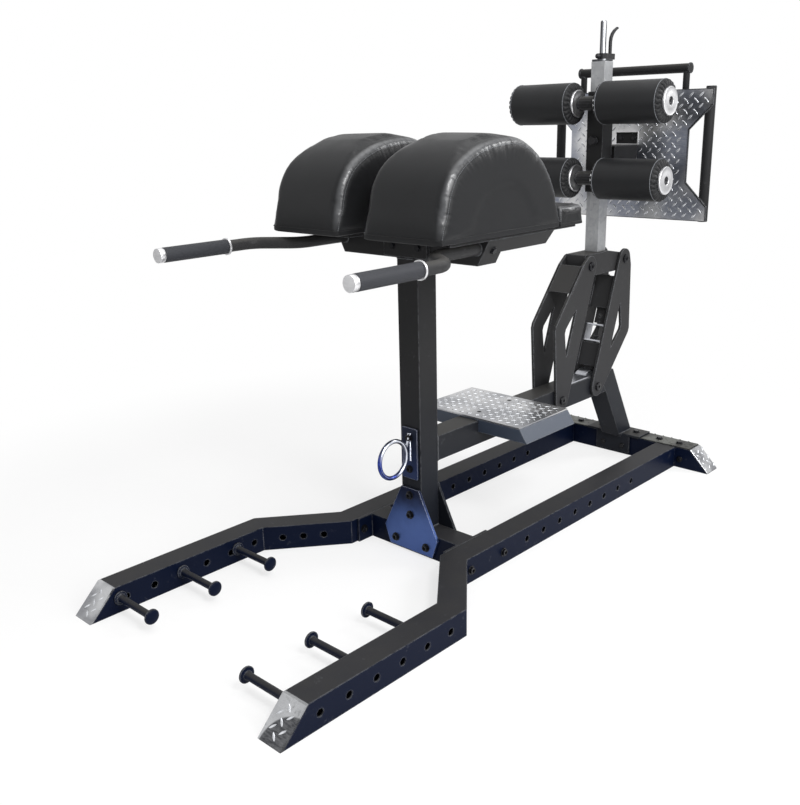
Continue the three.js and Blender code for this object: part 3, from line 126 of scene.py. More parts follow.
class Value:
    """A socket that takes part in Python sums: each operator adds one Math node to its nodes."""

    def __init__(self, nodes, socket):
        self.nodes, self.socket = nodes, socket

    def sum_of(self, operation, *others):
        return self.nodes.add("Math", {"operation": operation}, dict(enumerate((self, *others))))

    def __add__(self, other):
        return self.sum_of("ADD", other)

    def __sub__(self, other):
        return self.sum_of("SUBTRACT", other)

    def __mul__(self, other):
        return self.sum_of("MULTIPLY", other)

    def __rsub__(self, other):
        return self * -1 + other

    def __abs__(self):
        return self.sum_of("ABSOLUTE")

    __radd__ = __add__
    __rmul__ = __mul__

    def eased(self, low, high):
        """0 below low and 1 above high, with a smooth run between."""
        inputs = {"Value": self, "From Min": low, "From Max": high}
        return self.nodes.add("MapRange", {"interpolation_type": "SMOOTHSTEP"}, inputs)


class Nodes:
    """The nodes of one material or world, which are added as expressions."""

    def __init__(self, owner):
        owner.use_nodes = True
        self.tree = owner.node_tree

    def feed(self, socket, value):
        """Links a value to a socket, or sets it there. Colours of three parts are display ones."""
        if isinstance(value, Value):
            self.tree.links.new(value.socket, socket)
        elif socket.type == "RGBA" and len(value) == 3:
            socket.default_value = linear(value)
        else:
            socket.default_value = value

    def add(self, kind, settings=None, inputs=None, output=0):
        node = self.tree.nodes.new("ShaderNode" + kind)
        for name, value in (settings or {}).items():
            setattr(node, name, value)
        for name, value in (inputs or {}).items():
            self.feed(node.inputs[name], value)
        return Value(self, node.outputs[output])

    def blend(self, end, share, first, second):
        """Ends the nodes with a share of the second shader over the first."""
        mixed = self.add("MixShader", None, {0: share, 1: first, 2: second})
        self.feed(self.tree.nodes[end].inputs["Surface"], mixed)


class Finish(Nodes):
    """One material, with the patterns that the finishes share."""

    def __init__(self, name, **surface):
        self.material = bpy.data.materials.new(name)
        super().__init__(self.material)
        self.shader = self.tree.nodes["Principled BSDF"]
        self.place = self.add("TexCoord", output="Object")
        self.dress(**surface)

    def dress(self, **sockets):
        for socket, value in sockets.items():
            self.feed(self.shader.inputs[socket.replace("_", " ")], value)

    def finished(self, tone, roughness, height, distance, strength=0.5, soft=None):
        """The material in a tone and a roughness, with its normal, or a softer one, bent as by a
        height field of a distance in metres."""
        bump = {"Height": height, "Strength": strength, "Distance": distance}
        if soft:
            bump["Normal"] = soft
        self.dress(Base_Color=tone, Roughness=roughness, Normal=self.add("Bump", None, bump))
        return self.material

    def over(self, tone, *layers):
        """A colour under layers of others, each laid on by its share."""
        for share, colour in layers:
            tone = self.add("Mix", {"data_type": "RGBA"}, {0: share, 6: tone, 7: colour}, 2)
        return tone

    def noise(self, scale, detail=3.0, roughness=0.5, place=None):
        inputs = {"Vector": place or self.place, "Scale": scale, "Detail": detail,
                  "Roughness": roughness}
        return self.add("TexNoise", None, inputs)

    def drawn(self, x, y, z, detail=4, roughness=0.6):
        """Noise of its own scale along each axis, for marks that run one way."""
        place = self.add("Mapping", None, {"Vector": self.place, "Scale": (x, y, z)})
        return self.noise(1, detail, roughness, place)

    def cells(self, scale, output=0):
        """Distance to the nearest point of a field of cells, or each cell's own colour."""
        return self.add("TexVoronoi", None, {"Vector": self.place, "Scale": scale}, output)

    def part(self, axis, place=None):
        """One coordinate of the object's own place, in metres, or of another vector."""
        return self.add("SeparateXYZ", None, {"Vector": place or self.place}, axis)

    def pair(self, operation, first, second):
        return self.add("VectorMath", {"operation": operation}, {0: first, 1: second}, "Value")

    def rounded(self, radius):
        """The normal of the surface with its edges rounded by a radius."""
        return self.add("Bevel", {"samples": 2}, {"Radius": radius})

    def edge(self, soft):
        """1 along the edges that a rounded normal softens, and 0 on flat ground."""
        own = self.add("NewGeometry", output="True Normal")
        return (1 - self.pair("DOT_PRODUCT", soft, own)).eased(0.02, 0.17)


def paint(name, colour, painted_low_shade_colour, dust, worn, roughness, gloss):
    """Powder coat: fine orange peel, cloudy tone, a painted cool shade near the floor, faces that
    look up painted paler as dust and as painted light from above, scuffs, and edges painted paler
    as worn paint and as a painted highlight."""
    coat = Finish(name, Metallic=0.0, Specular_IOR_Level=gloss)
    soft = coat.rounded(0.005)
    # Edges painted paler: partly worn paint, partly a painted highlight along the rounded edges.
    rim = coat.edge(soft) * coat.noise(60, 2, 0.6).eased(0.25, 0.55)
    cloud = coat.noise(5, 4, 0.55)
    scuff = coat.noise(34, 5, 0.72).eased(0.6, 0.74)
    # Painted shade: cooler and darker towards the floor, standing in for the blue light low down.
    low = 1 - coat.part("Z").eased(0.1, 0.62)
    # Faces that look up are painted paler: dust, and partly painted light from above.
    upward = coat.part("Z", coat.add("TexCoord", output="Normal")).eased(0.35, 0.9)
    dust_and_top_light = upward * (coat.noise(14, 3, 0.6) * 0.4 + 0.7)
    tone = coat.over(colour, (low, painted_low_shade_colour), (cloud * 0.3, linear(colour, 0.7)),
                     (dust_and_top_light * 0.75, dust), (scuff * 0.14, worn), (rim * 0.85, worn))
    rough = cloud * 0.08 + scuff * 0.12 + dust_and_top_light * 0.1 + (roughness - 0.05)
    return coat.finished(tone, rough, coat.noise(1500, 2), 0.00012, 0.35, soft)


def bare_metal(name, colour, roughness, streaks, stretch, dark=0.7):
    """Bare or plated metal: streaks along one axis and blotches of tone."""
    metal = Finish(name, Metallic=1.0)
    run, blotch = metal.drawn(*stretch), metal.noise(26, 5, 0.6)
    share = (run * streaks + blotch * (1 - streaks)).eased(0.3, 0.68)
    tone = metal.over(linear(colour, dark), (share, colour))
    return metal.finished(tone, run * 0.16 + blotch * 0.1 + (roughness - 0.13), run, 0.00004)


def rolled_plate(name, light, dark, scale, crisp, roughness, painted_dark_reflection=None):
    """Rolled aluminium plate: pale and darker fields with a crisp or a soft border, a fine mill
    grain, and dirt in the hollows. A painted dark reflection, if given, is a place and a radius
    within which the plate is painted dark."""
    plate = Finish(name, Metallic=1.0)
    field = plate.noise(scale, 1.5, 0.4).eased(0.5 - crisp, 0.5 + crisp)
    # Painted dark reflection: the plate is painted dark within the radius of the place.
    if painted_dark_reflection:
        centre, radius = painted_dark_reflection
        away = plate.pair("DISTANCE", plate.place, centre)
        field = (field * 0.2 + 0.8) * away.eased(radius - 0.003, radius + 0.002)
    grain = plate.drawn(45, 45, 320, 4, 0.65)
    dirt = plate.noise(75, 5, 0.7).eased(0.52, 0.72)
    tone = plate.over(dark, (field, light), (grain.eased(0.3, 0.7) * 0.3, linear(light, 0.8)),
                      (dirt * 0.35, linear(dark, 0.6)))
    return plate.finished(tone, grain * 0.14 + dirt * 0.15 + (roughness - 0.07), grain, 0.00006)


def steel_painted_reflections(name, pale, deep, low, high):
    """Oiled steel with painted light: its blue tone is a painted reflection of blue surroundings,
    dark above one height as a painted dark reflection and paler below another, with cloudy
    patches, pale edges as a painted highlight, and fine brush marks."""
    steel = Finish(name, Metallic=0.9)
    soft = steel.rounded(0.0025)
    # Painted dark reflection: darker above the upper height.
    rise = steel.part("Z").eased(low, high)
    tint, brush = steel.noise(22, 5, 0.6), steel.drawn(30, 30, 420)
    # Pale edge tone: a painted highlight along the rounded edges.
    tone = steel.over(pale, ((rise * 0.75 + tint * 0.35).eased(0.1, 0.9), deep),
                      (steel.edge(soft) * 0.8, (190, 196, 214)))
    return steel.finished(tone, tint * 0.16 + brush * 0.12 + 0.24, brush, 0.00004, 0.5, soft)


def spangled_zinc():
    """Galvanised tube: crystals a centimetre wide, each of its own faint tone, long draw marks, and
    grey bloom."""
    zinc = Finish("galvanised_tube", Metallic=0.6)
    spangle, draw = zinc.cells(95, "Color"), zinc.drawn(900, 900, 6, 3)
    bloom = zinc.noise(9, 5, 0.6).eased(0.35, 0.75)
    tone = zinc.over((128, 130, 133), (spangle * 0.45 + draw * 0.5, (176, 177, 179)),
                     (bloom * 0.4, (150, 151, 152)))
    rough = draw * 0.15 + bloom * 0.12 + 0.28
    return zinc.finished(tone, rough, draw, 0.00005, 0.5, zinc.rounded(0.003))


def hide(name, colour, glow, roughness, gloss, grain_scale=620, edge_highlight_half_width=None):
    """Coated upholstery: pebbled grain of uneven cells, faint creases and handled, shinier patches.
    Taut, the edge highlight half width, is the half width of a pad, where the skin is drawn over
    its long edges and shines, and where its tone is painted paler as a painted highlight."""
    skin = Finish(name, Metallic=0.0, Specular_IOR_Level=gloss, Coat_Roughness=0.3)
    pebble, crease = skin.cells(grain_scale), skin.noise(55, 4, 0.65)
    worn = skin.noise(7).eased(0.42, 0.68)
    tone = skin.over(colour, (pebble * 0.5 + crease * 0.3, glow))
    if edge_highlight_half_width:
        middle = (pad_inner + pad_outer) / 2 * mm
        out = abs(abs(skin.part("X")) - middle) - edge_highlight_half_width
        drawn = out.eased(-0.019, -0.007) * (1 - out.eased(-0.0045, -0.001))
        drawn = drawn * skin.part("Z").eased(pad_seat * mm, (pad_seat + 60) * mm)
        skin.dress(Coat_Weight=drawn * (crease * 0.5 + 0.7))
        # Painted highlight: the tone along the long edges is painted paler.
        tone = skin.over(tone, (drawn * crease * 0.5, (92, 94, 98)))
    rough = pebble * 0.12 - worn * 0.07 + crease * 0.06 + (roughness - 0.05)
    tone = skin.over(tone, (worn * 0.25, glow))
    return skin.finished(tone, rough, pebble + crease * 0.6, 0.00022, 0.45)


def knurl():
    """Grip rubber: two crossed families of fine ridges wound round the grip, and dust."""
    grip = Finish("knurled_grip", Metallic=0.0, Specular_IOR_Level=0.3)
    x, y, z = (grip.part(axis) for axis in "XYZ")
    turns = (abs(x) - handle_x * mm).sum_of("ARCTAN2", z - handle_z * mm) * 18
    along = y * 2600
    points = (turns + along).sum_of("SINE") * (turns - along).sum_of("SINE") * 0.5 + 0.5
    dust = grip.noise(70, 6, 0.65)
    tone = grip.over((21, 22, 25), (points * 0.6 + dust * 0.4, (52, 54, 60)))
    return grip.finished(tone, dust * 0.2 + 0.5, points, 0.0003, 0.6)


def moulded(name, colour, roughness, gloss=0.25):
    """Moulded plastic, or black oxide where it is glossier: fine spark texture and cloudy tone."""
    plastic = Finish(name, Metallic=0.0, Specular_IOR_Level=gloss)
    spark, cloud = plastic.noise(1900, 2, 0.6), plastic.noise(30, 4)
    tone = plastic.over(linear(colour, 0.7), (cloud, colour))
    return plastic.finished(tone, cloud * 0.12 + (roughness - 0.06), spark, 0.0001, 0.4)


def rod_steel_painted_reflection():
    """Polished rod: a painted reflection, bright along its middle as seen from the camera and
    darker beside it, with fine long marks.
    """
    steel = Finish("polished_steel", Metallic=1.0)
    # Painted reflection: distance from the rod's middle line as seen from the camera.
    across = abs(steel.part("X") * 0.724 + (steel.part("Y") - mast_y * mm) * 0.69)
    run = steel.drawn(420, 420, 3)
    share = across.eased(0.001, 0.008) * 0.88 + run * 0.12
    tone = steel.over((182, 184, 188), (share, (46, 47, 51)))
    return steel.finished(tone, run * 0.14 + 0.16, run, 0.00001)


def ring_painted_shine():
    """Bright ring bent from round bar: pale along its middle and darker on its inner and outer
    side, both a painted reflection, with a blue painted reflection low in front, and bending marks."""
    steel = Finish("ring_steel_painted_shine", Metallic=1.0)
    y, z = steel.part("Y") - ring_y * mm, steel.part("Z") - ring_z * mm
    out = abs((y * y + z * z).sum_of("SQRT") - ring_reach * mm)
    marks = steel.noise(90, 5, 0.65)
    # Painted reflection: dark bands along the ring's inner and outer side.
    dark = out.eased(0.0028, 0.0062) * (1 - out.eased(0.0066, 0.0076))
    # Painted reflection: a blue tint low in front.
    tint = (-1 * y - z).eased(0.012, 0.052) * (marks * 0.6 + 0.6)
    tone = steel.over((206, 210, 220), (dark * 0.9 + marks * 0.1, (46, 52, 74)),
                      (tint, (44, 62, 142)))
    return steel.finished(tone, marks * 0.18 + 0.12, marks, 0.0001, 0.3)


# Tone of scuffs and of the paler edges, which are worn paint and a painted highlight.
rubbed_and_lit_tone = (118, 120, 124)
black = paint("black_powder_coat", (36, 36, 37), (28, 31, 38), (62, 61, 59), rubbed_and_lit_tone, 0.42, 0.1)
navy = paint("low_frame_powder_coat", (15, 19, 32), (9, 17, 37), (56, 55, 53), rubbed_and_lit_tone, 0.36, 0.06)
step_paint = paint("step_powder_coat", (60, 68, 82), (60, 68, 82), (76, 78, 82), (140, 144, 152),
                   0.36, 0.3)
slate = paint("link_powder_coat", (46, 46, 47), (42, 42, 45), (68, 67, 65), rubbed_and_lit_tone, 0.48, 0.12)
bolt_black = moulded("black_oxide", (18, 19, 23), 0.22, 0.2)
# Front gusset and ring plate: their blue and their dark upper part are painted reflections.
blue_plate_painted_reflections = steel_painted_reflections("plate_painted_reflections", (74, 96, 150), (26, 32, 54), 0.07, 0.23)
dark_blue_plate_painted_reflections = steel_painted_reflections("dark_plate_painted_reflections", (52, 64, 100), (30, 35, 50), 0.24, 0.38)
plated = bare_metal("zinc_plate", (186, 188, 194), 0.3, 0.6, (300, 300, 20))
foot_ground = rolled_plate("foot_plate_ground", (212, 212, 213), (126, 131, 145), 5.5, 0.1, 0.32)
step_ground = rolled_plate("step_plate_ground", (200, 200, 201), (140, 142, 147), 7, 0.16, 0.34)
cap_ground = rolled_plate("cap_plate_ground", (190, 191, 193), (132, 133, 137), 13, 0.1, 0.2)
# Right end cap: a painted dark reflection over its lower outer part.
cap_painted_dark_reflection = rolled_plate("cap_plate_painted_dark_reflection", (160, 161, 163), (50, 51, 54), 13, 0.1, 0.2,
                          ((0.43, -1.04, 0.0), 0.079))
dark_tread = rolled_plate("oiled_tread", (104, 105, 101), (58, 58, 56), 9, 0.1, 0.42)
bar_metal = bare_metal("rubbed_tread_bars", (204, 206, 210), 0.24, 0.3, (90, 90, 90))
# The rod's material paints its reflection.
mirror = rod_steel_painted_reflection()
ring_steel_painted_shine = ring_painted_shine()
satin = bare_metal("satin_aluminium", (222, 222, 224), 0.36, 0.5, (30, 500, 500), 0.86)
galvanised = spangled_zinc()
vinyl = hide("pad_vinyl", (20, 20, 21), (32, 33, 35), 0.4, 0.18, edge_highlight_half_width=0.129)
roller_vinyl = hide("roller_vinyl", (23, 23, 24), (34, 35, 37), 0.46, 0.2, 900)
# Pale thread whose tone is raised to stand for the seams' highlight: partly a painted highlight.
thread_and_seam_highlight = moulded("seam_thread_painted_highlight", (132, 135, 140), 0.5)
knurled = knurl()
plastic_black = moulded("black_plastic", (26, 26, 29), 0.42)

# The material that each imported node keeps
finishes = {
    navy: ["left_rail", "right_rail", "rear_beam", "front_crossmember"],
    step_paint: ["step_frame"],
    black: ["upright", "rear_gusset", "spine", "rear_strut", "pad_carrier", "carriage"],
    slate: ["front_link", "rear_link", "head_block", "lock_slider"],
    blue_plate_painted_reflections: ["front_gusset"],
    plated: ["front_lower_pivot", "rear_lower_pivot", "front_upper_pivot", "rear_upper_pivot",
             "lock_drum", "latch_box", "lower_axle", "upper_axle"],
    cap_ground: ["left_end_cap"],
    cap_painted_dark_reflection: ["right_end_cap"],
    step_ground: ["step_tread"],
    foot_ground: ["foot_tread"],
    galvanised: ["mast"],
    plastic_black: ["lever_clamp", "release_lever", "clamp_plunger"],
}
for finish, names in finishes.items():
    for name in names:
        for material_slot in nodes[name].material_slots:
            material_slot.material = finish


# Shapes, each a pair of points and faces

pole = 0.01


def grid(points, wrap_rows=False, wrap_columns=False, cap=False):
    """Quads over a grid of points: row i and column j share a corner with their neighbours, wrapped
    round where asked. With cap, the first and last row are closed by one face each."""
    rows, columns = points.shape[:2]
    i = np.arange(rows if wrap_rows else rows - 1)[:, None]
    j = np.arange(columns if wrap_columns else columns - 1)[None, :]
    after_i, after_j = (i + 1) % rows, (j + 1) % columns
    quads = np.stack([i * columns + j, i * columns + after_j,
                      after_i * columns + after_j, after_i * columns + j], axis=-1)
    faces = quads.reshape(-1, 4).tolist()
    if cap:
        faces.append(list(range(columns))[::-1])
        faces.append(list(range((rows - 1) * columns, rows * columns)))
    return points.reshape(-1, 3), faces


def gathered(*shapes):
    """Several shapes as one, with the faces of each counted on from the points before it."""
    points, faces, start = [], [], 0
    for some_points, some_faces in shapes:
        points.append(some_points)
        faces.extend([start + index for index in face] for face in some_faces)
        start += len(some_points)
    return np.concatenate(points), faces


def basis(axis):
    """Three unit vectors: two across an axis and the axis itself."""
    along = np.array(axis, float) / np.linalg.norm(axis)
    guide = np.array([0, 0, 1.0]) if abs(along[2]) < 0.9 else np.array([1.0, 0, 0])
    side = np.cross(guide, along)
    side /= np.linalg.norm(side)
    return side, np.cross(along, side), along


def turned(profile, axis, centre, sides=48, closed=True):
    """A profile of (radius, place, flat) turned about an axis: at angle a the radius is
    r * (1 - f + f * cos(30) / cos((a mod 60) - 30)), so that f = 1 is a hexagon on its points. Both
    ends are closed at a pole, or else the last row joins the first."""
    rows = list(profile)
    if closed:
        rows = [(pole, rows[0][1])] + rows + [(pole, rows[-1][1])] * (rows[-1][0] > pole)
    table = np.array([(*row, 0)[:3] for row in rows], float)
    angle = np.arange(sides) * 2 * math.pi / sides
    sixth = math.pi / 3
    hexagon = math.cos(sixth / 2) / np.cos((angle % sixth) - sixth / 2)
    flat = table[:, 2:]
    radius = table[:, :1] * (1 - flat + flat * hexagon[None, :])
    side, up, along = basis(axis)
    points = (np.array(centre, float) + (radius * np.cos(angle))[..., None] * side
              + (radius * np.sin(angle))[..., None] * up + table[:, 1][:, None, None] * along)
    return grid(points, wrap_rows=not closed, wrap_columns=True, cap=closed)


def symmetric(half):
    """The rows of a profile, and the same ones again on the other side of its middle."""
    return half + [(row[0], -row[1], *row[2:]) for row in half[::-1]]


def arc_corners(points, radius, parts=8, closed=False):
    """A path whose corners are eased: each becomes an arc of the radius, whose points are the
    unit vectors from the arc's centre turned evenly from one side to the other."""
    path = np.array(points, float)
    count = len(path)
    radii = np.broadcast_to(radius, (count,))
    result = [] if closed else [path[0]]
    for i in range(count) if closed else range(1, count - 1):
        corner, size = path[i], radii[i]
        back, ahead = path[i - 1] - corner, path[(i + 1) % count] - corner
        back, ahead = back / np.linalg.norm(back), ahead / np.linalg.norm(ahead)
        half = math.acos(np.clip(back @ ahead, -1, 1)) / 2
        if size <= 0 or abs(half - math.pi / 2) < 1e-3:
            result.append(corner)
            continue
        middle = (back + ahead) / np.linalg.norm(back + ahead)
        centre = corner + middle * size / math.sin(half)
        first = corner + back * size / math.tan(half) - centre
        last = corner + ahead * size / math.tan(half) - centre
        sweep = math.pi - 2 * half
        share = np.linspace(0, 1, parts + 1)[:, None]
        turn = np.sin((1 - share) * sweep) * first + np.sin(share * sweep) * last
        result.extend(centre + turn / math.sin(sweep))
    if not closed:
        result.append(path[-1])
    return np.array(result)


def piped(path, radius, sides=24):
    """A round bar along a path: every point gets a circle in the plane across the path, whose side
    vector is carried on from the one before. Radius may be a number or one for each point."""
    path = np.array(path, float)
    run = np.gradient(path, axis=0)
    run /= np.linalg.norm(run, axis=1)[:, None]
    side = basis(run[0])[0]
    carried = []
    for direction in run:
        side = side - direction * (side @ direction)
        side /= np.linalg.norm(side)
        carried.append(side)
    across = np.array(carried)
    up = np.cross(run, across)[:, None, :]
    angle = (np.arange(sides) * 2 * math.pi / sides)[None, :, None]
    reach = np.broadcast_to(np.asarray(radius, float), (len(path),))[:, None, None]
    points = path[:, None, :] + reach * (np.cos(angle) * across[:, None, :] + np.sin(angle) * up)
    return grid(points, wrap_columns=True, cap=True)


def resampled(path, step, closed=False):
    """Points at even steps along a path."""
    path = np.array(path, float)
    if closed:
        path = np.vstack([path, path[:1]])
    length = np.concatenate([[0], np.cumsum(np.linalg.norm(np.diff(path, axis=0), axis=1))])
    count = max(2, int(round(length[-1] / step)))
    at = np.linspace(0, length[-1], count + 1)
    even = np.stack([np.interp(at, length, column) for column in path.T], axis=1)
    return even[:-1] if closed else even


def inset(outline, distance):
    """A flat outline moved inwards: each corner goes along the mean of its two edges' normals, by
    the distance over the cosine of half the turn."""
    normals = []
    for edge in (outline - np.roll(outline, 1, axis=0), np.roll(outline, -1, axis=0) - outline):
        edge = edge / np.linalg.norm(edge, axis=1)[:, None]
        normals.append(np.stack([-edge[:, 1], edge[:, 0]], axis=1))
    mean = normals[0] + normals[1]
    mean /= np.linalg.norm(mean, axis=1)[:, None]
    cosine = np.sum(mean * normals[1], axis=1)[:, None]
    return outline + mean * distance / np.maximum(cosine, 0.3)


def slab(outline, axis, start, end, bevel=0.8, holes=()):
    """A plate of an outline in the plane across x, y or z, from start to end, with chamfered rims
    and holes: rings at the chamfers, walls between them, and both faces filled with triangles."""
    walls, lids, first = [], [[], []], 0
    for k, loop in enumerate([outline, *holes]):
        loop = np.array(loop, float)
        x, y = loop.T
        area = np.sum(x * np.roll(y, -1) - y * np.roll(x, -1)) / 2
        if (area > 0) != (k == 0):
            loop = loop[::-1]
        drawn, count = inset(loop, bevel), len(loop)
        rims = ((drawn, start), (loop, start + bevel), (loop, end - bevel), (drawn, end))
        rows = np.array([np.column_stack([rim, np.full(count, place)]) for rim, place in rims])
        walls.append(grid(rows, wrap_columns=True))
        lids[0].append(np.arange(first, first + count))
        lids[1].append(np.arange(first + 3 * count, first + 4 * count))
        first += 4 * count
    points, faces = gathered(*walls)
    for lid in lids:
        index = np.concatenate(lid)
        rings = [[Vector((*points[i, :2], 0)) for i in ring] for ring in lid]
        faces += [[int(index[corner]) for corner in face] for face in tessellate_polygon(rings)]
    return points[:, {"x": (2, 0, 1), "y": (0, 2, 1), "z": (0, 1, 2)}[axis]], faces


def box_loop(a0, a1, b0, b1, radius=0.0):
    """A rectangle with eased corners."""
    return arc_corners([(a0, b0), (a1, b0), (a1, b1), (a0, b1)], radius, 6, True)


def arc(a, b, radius, start, end, count):
    """Points of an arc about (a, b), from one angle to another."""
    angle = np.linspace(start, end, count)
    return np.stack([a + radius * np.cos(angle), b + radius * np.sin(angle)], axis=1)


def ring_loop(a, b, radius, sides=32):
    return arc(a, b, radius, 0, 2 * math.pi, sides + 1)[:-1]


def leaned(shape, pivot_y):
    """A shape that is drawn in a link's own frame, turned by the link's lean about its lower pivot:
    y = p + y' cos(l) + z' sin(l), and z = q - y' sin(l) + z' cos(l)."""
    (x, y, z), faces = shape[0].T, shape[1]
    c, s = math.cos(link_lean), math.sin(link_lean)
    return np.stack([x, pivot_y + y * c + z * s, spine_z - y * s + z * c], axis=1), faces


def on_side(side, shape):
    """A shape of the right side, mirrored in the middle plane where side is -1."""
    points, faces = shape
    return points * [side, 1, 1], faces if side > 0 else [face[::-1] for face in faces]


def on_both(shape):
    return [on_side(side, shape) for side in (-1, 1)]


def meshed(name, points, faces):
    """A mesh of points in millimetres."""
    mesh = bpy.data.meshes.new(name)
    mesh.from_pydata((points * mm).tolist(), [], faces)
    return mesh


def make(name, shape, material, body="base", replaced=None, sharp=32, sheet=False):
    """Makes a named piece of a shape or a list of them: its poles closed and its faces turned
    outwards unless it is a sheet, smooth but for edges sharper than an angle, riding on a body."""
    mesh = meshed(name, *(gathered(*shape) if isinstance(shape, list) else shape))
    if not sheet:
        work = bmesh.new()
        work.from_mesh(mesh)
        bmesh.ops.remove_doubles(work, verts=work.verts, dist=1e-6)
        bmesh.ops.recalc_face_normals(work, faces=work.faces)
        work.to_mesh(mesh)
        work.free()
    mesh.polygons.foreach_set("use_smooth", np.ones(len(mesh.polygons), bool))
    mesh.set_sharp_from_angle(angle=math.radians(sharp))
    mesh.materials.append(material)
    piece = placed(name, mesh)
    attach(piece, body)
    if replaced:
        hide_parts(replaced)
    return piece


# Fasteners and welds

def socket_bolt(centre, axis, radius=9, height=8, washer=12):
    """A socket head: washer, round head with an eased rim, and a six-sided recess."""
    recess = radius * 0.55
    rows = [(washer, 0), (washer, 1.6), (washer - 0.5, 2), (radius, 2), (radius, height - 1),
            (radius - 1, height), (radius * 0.6, height), (recess, height - 0.4, 1),
            (recess, height - 4, 1)]
    return turned(rows, axis, centre, 24)


def hex_bolt(centre, axis, radius=9, height=6, washer=11):
    """A six-sided head on a washer, with its corners turned down at the top."""
    rows = [(washer, 0), (washer, 1.6), (washer - 0.5, 2.2), (radius * 0.95, 2.2),
            (radius, 2.3, 1), (radius, height - 1, 1), (radius * 0.86, height, 0.3)]
    return turned(rows, axis, centre, 24)


def nut(centre, axis):
    """A six-sided nut on a washer, with the bolt's end standing out of it."""
    rows = [(13, 0), (13, 2), (10, 2.2, 1), (10, 8, 1), (9, 9, 0.2), (5.5, 9), (5.5, 12), (4.5, 13)]
    return turned(rows, axis, centre, 24)


def weld(path, radius, closed=False):
    """A weld bead: a bar along a path whose radius swells and falls each 3.2 mm, as the puddle did:
    r * (1 + 0.14 * sin(2 pi s / 3.2)) with a slower, seeded wander."""
    step, ripple = 0.8, 3.2
    even = resampled(path, step, closed)
    s = np.arange(len(even)) * step
    wander = np.random.default_rng(len(even)).normal(0, 0.05, len(even) // 8 + 2)
    swell = (1 + 0.14 * np.sin(2 * math.pi * s / ripple)
             + np.interp(s / (2 * ripple), np.arange(len(wander)), wander))
    if closed:
        even, swell = np.vstack([even, even[:1]]), np.append(swell, swell[0])
    return piped(even, radius * swell, 8)


def base_fasteners():
    """Bolt heads and nuts of the gussets, cross tube, rear beam, carrier and step."""
    middle, heads = rear_y - half_tube, []
    for x, z in [(-60, 34), (60, 34), (0, 122), (0, 184)]:
        heads.append(socket_bolt((x, upright_front - seam - 8, z), to_front, 9.5, 9, 13))
        heads.append(nut((x, upright_rear + seam + 8, z), to_rear))
    for side in (-1, 1):
        for y in (upright_y - 74, upright_y + 74):
            outer, inner = side * (rail_x + half_tube), side * (rail_x - half_tube - seam - 8)
            heads.append(socket_bolt((outer, y, half_tube), (side, 0, 0), 9.5, 9, 13))
            heads.append(nut((inner, y, half_tube), (-side, 0, 0)))
        for x, y, z in [(40, beam_front - 8.3, 34), (273, beam_front, 32),
                        (47, upright_front - 8, 909)]:
            heads.append(hex_bolt((side * x, y, z), to_front))
        heads.append(hex_bolt((side * 265.8, upright_y, 914), (side * 75, 0, -41)))
        heads.append(hex_bolt((side * 73.75, middle, 83.3), to_top, 11, 8, 14))
        for x in cover_bolts:
            heads.append(hex_bolt((side * x, middle, cover_top), to_top, 10, 7, 13))
    button = [(7.4, 0), (7.4, 3), (6.6, 3.7), (4.2, 3.7), (4.0, 3.4, 1), (4.0, 0.8, 1)]
    heads += [turned(button, to_top, (0, y, 357), 24) for y in step_bolts]
    make("frame_bolts", heads, bolt_black)


def base_welds():
    """Beads where the tubes meet: strut, handles, both ends of the upright, and spine."""
    beads = [weld([(-37, 940.5, 84), (37, 940.5, 84)], 2.6)]
    for side in (-1, 1):
        circle = ring_loop(side * handle_inner, handle_z, 16.5, 48)
        beads.append(weld([(x, upright_front - 0.5, z) for x, z in circle], 2.4, True))
        beads.append(weld([(side * 37.8, 939, 84), (side * 37.8, 1015, 84)], 2.6))
    out = half_tube + 0.2
    square = box_loop(-out, out, upright_y - out, upright_y + out, 3)
    for z in (75.6, 875.6):
        beads.append(weld([(x, y, z) for x, y in square], 2.6, True))
    square = box_loop(-out, out, spine_z - out, spine_z + out, 3)
    beads.append(weld([(x, upright_rear + 0.6, z) for x, z in square], 2.6, True))
    make("frame_welds", beads, black)


# Tread plate

def tread(a0, a1, b0, b1, pitch, keep, origin, first, normal, length=22, width=6.2, height=1.4):
    """Raised bars of tread plate where keep allows them between a0 and a1 by b0 and b1, at a square
    pitch turned by 45 degrees, each bar across its neighbours. Over u from -1 to 1 along a bar and
    v across it, the half width is w (1 - u^2)^0.8 and the height h (1 - v^2) (1 - u^2)^0.5."""
    u, v = np.linspace(-1, 1, 7)[:, None], np.linspace(-1, 1, 5)[None, :]
    x = np.broadcast_to(u * length / 2, (7, 5))
    y = v * (1 - u**2) ** 0.8 * width / 2
    z = height * (1 - v**2) * np.sqrt(1 - u**2) - 0.02
    first, up = np.array(first, float), np.array(normal, float)
    second = np.cross(up, first)
    reach, step = int((a1 - a0 + b1 - b0) / pitch) + 2, pitch / math.sqrt(2)
    shapes = []
    for i in range(-reach, reach + 1):
        for j in range(-reach, reach + 1):
            a, b = (a0 + a1) / 2 + (i - j) * step, (b0 + b1) / 2 + (i + j) * step
            if a0 < a < a1 and b0 < b < b1 and keep(a, b):
                turn = math.pi / 4 if (i + j) % 2 else -math.pi / 4
                c, s = math.cos(turn), math.sin(turn)
                shapes.append(grid(origin + (a + x * c - y * s)[..., None] * first
                                   + (b + x * s + y * c)[..., None] * second
                                   + z[..., None] * up))
    return gathered(*shapes)


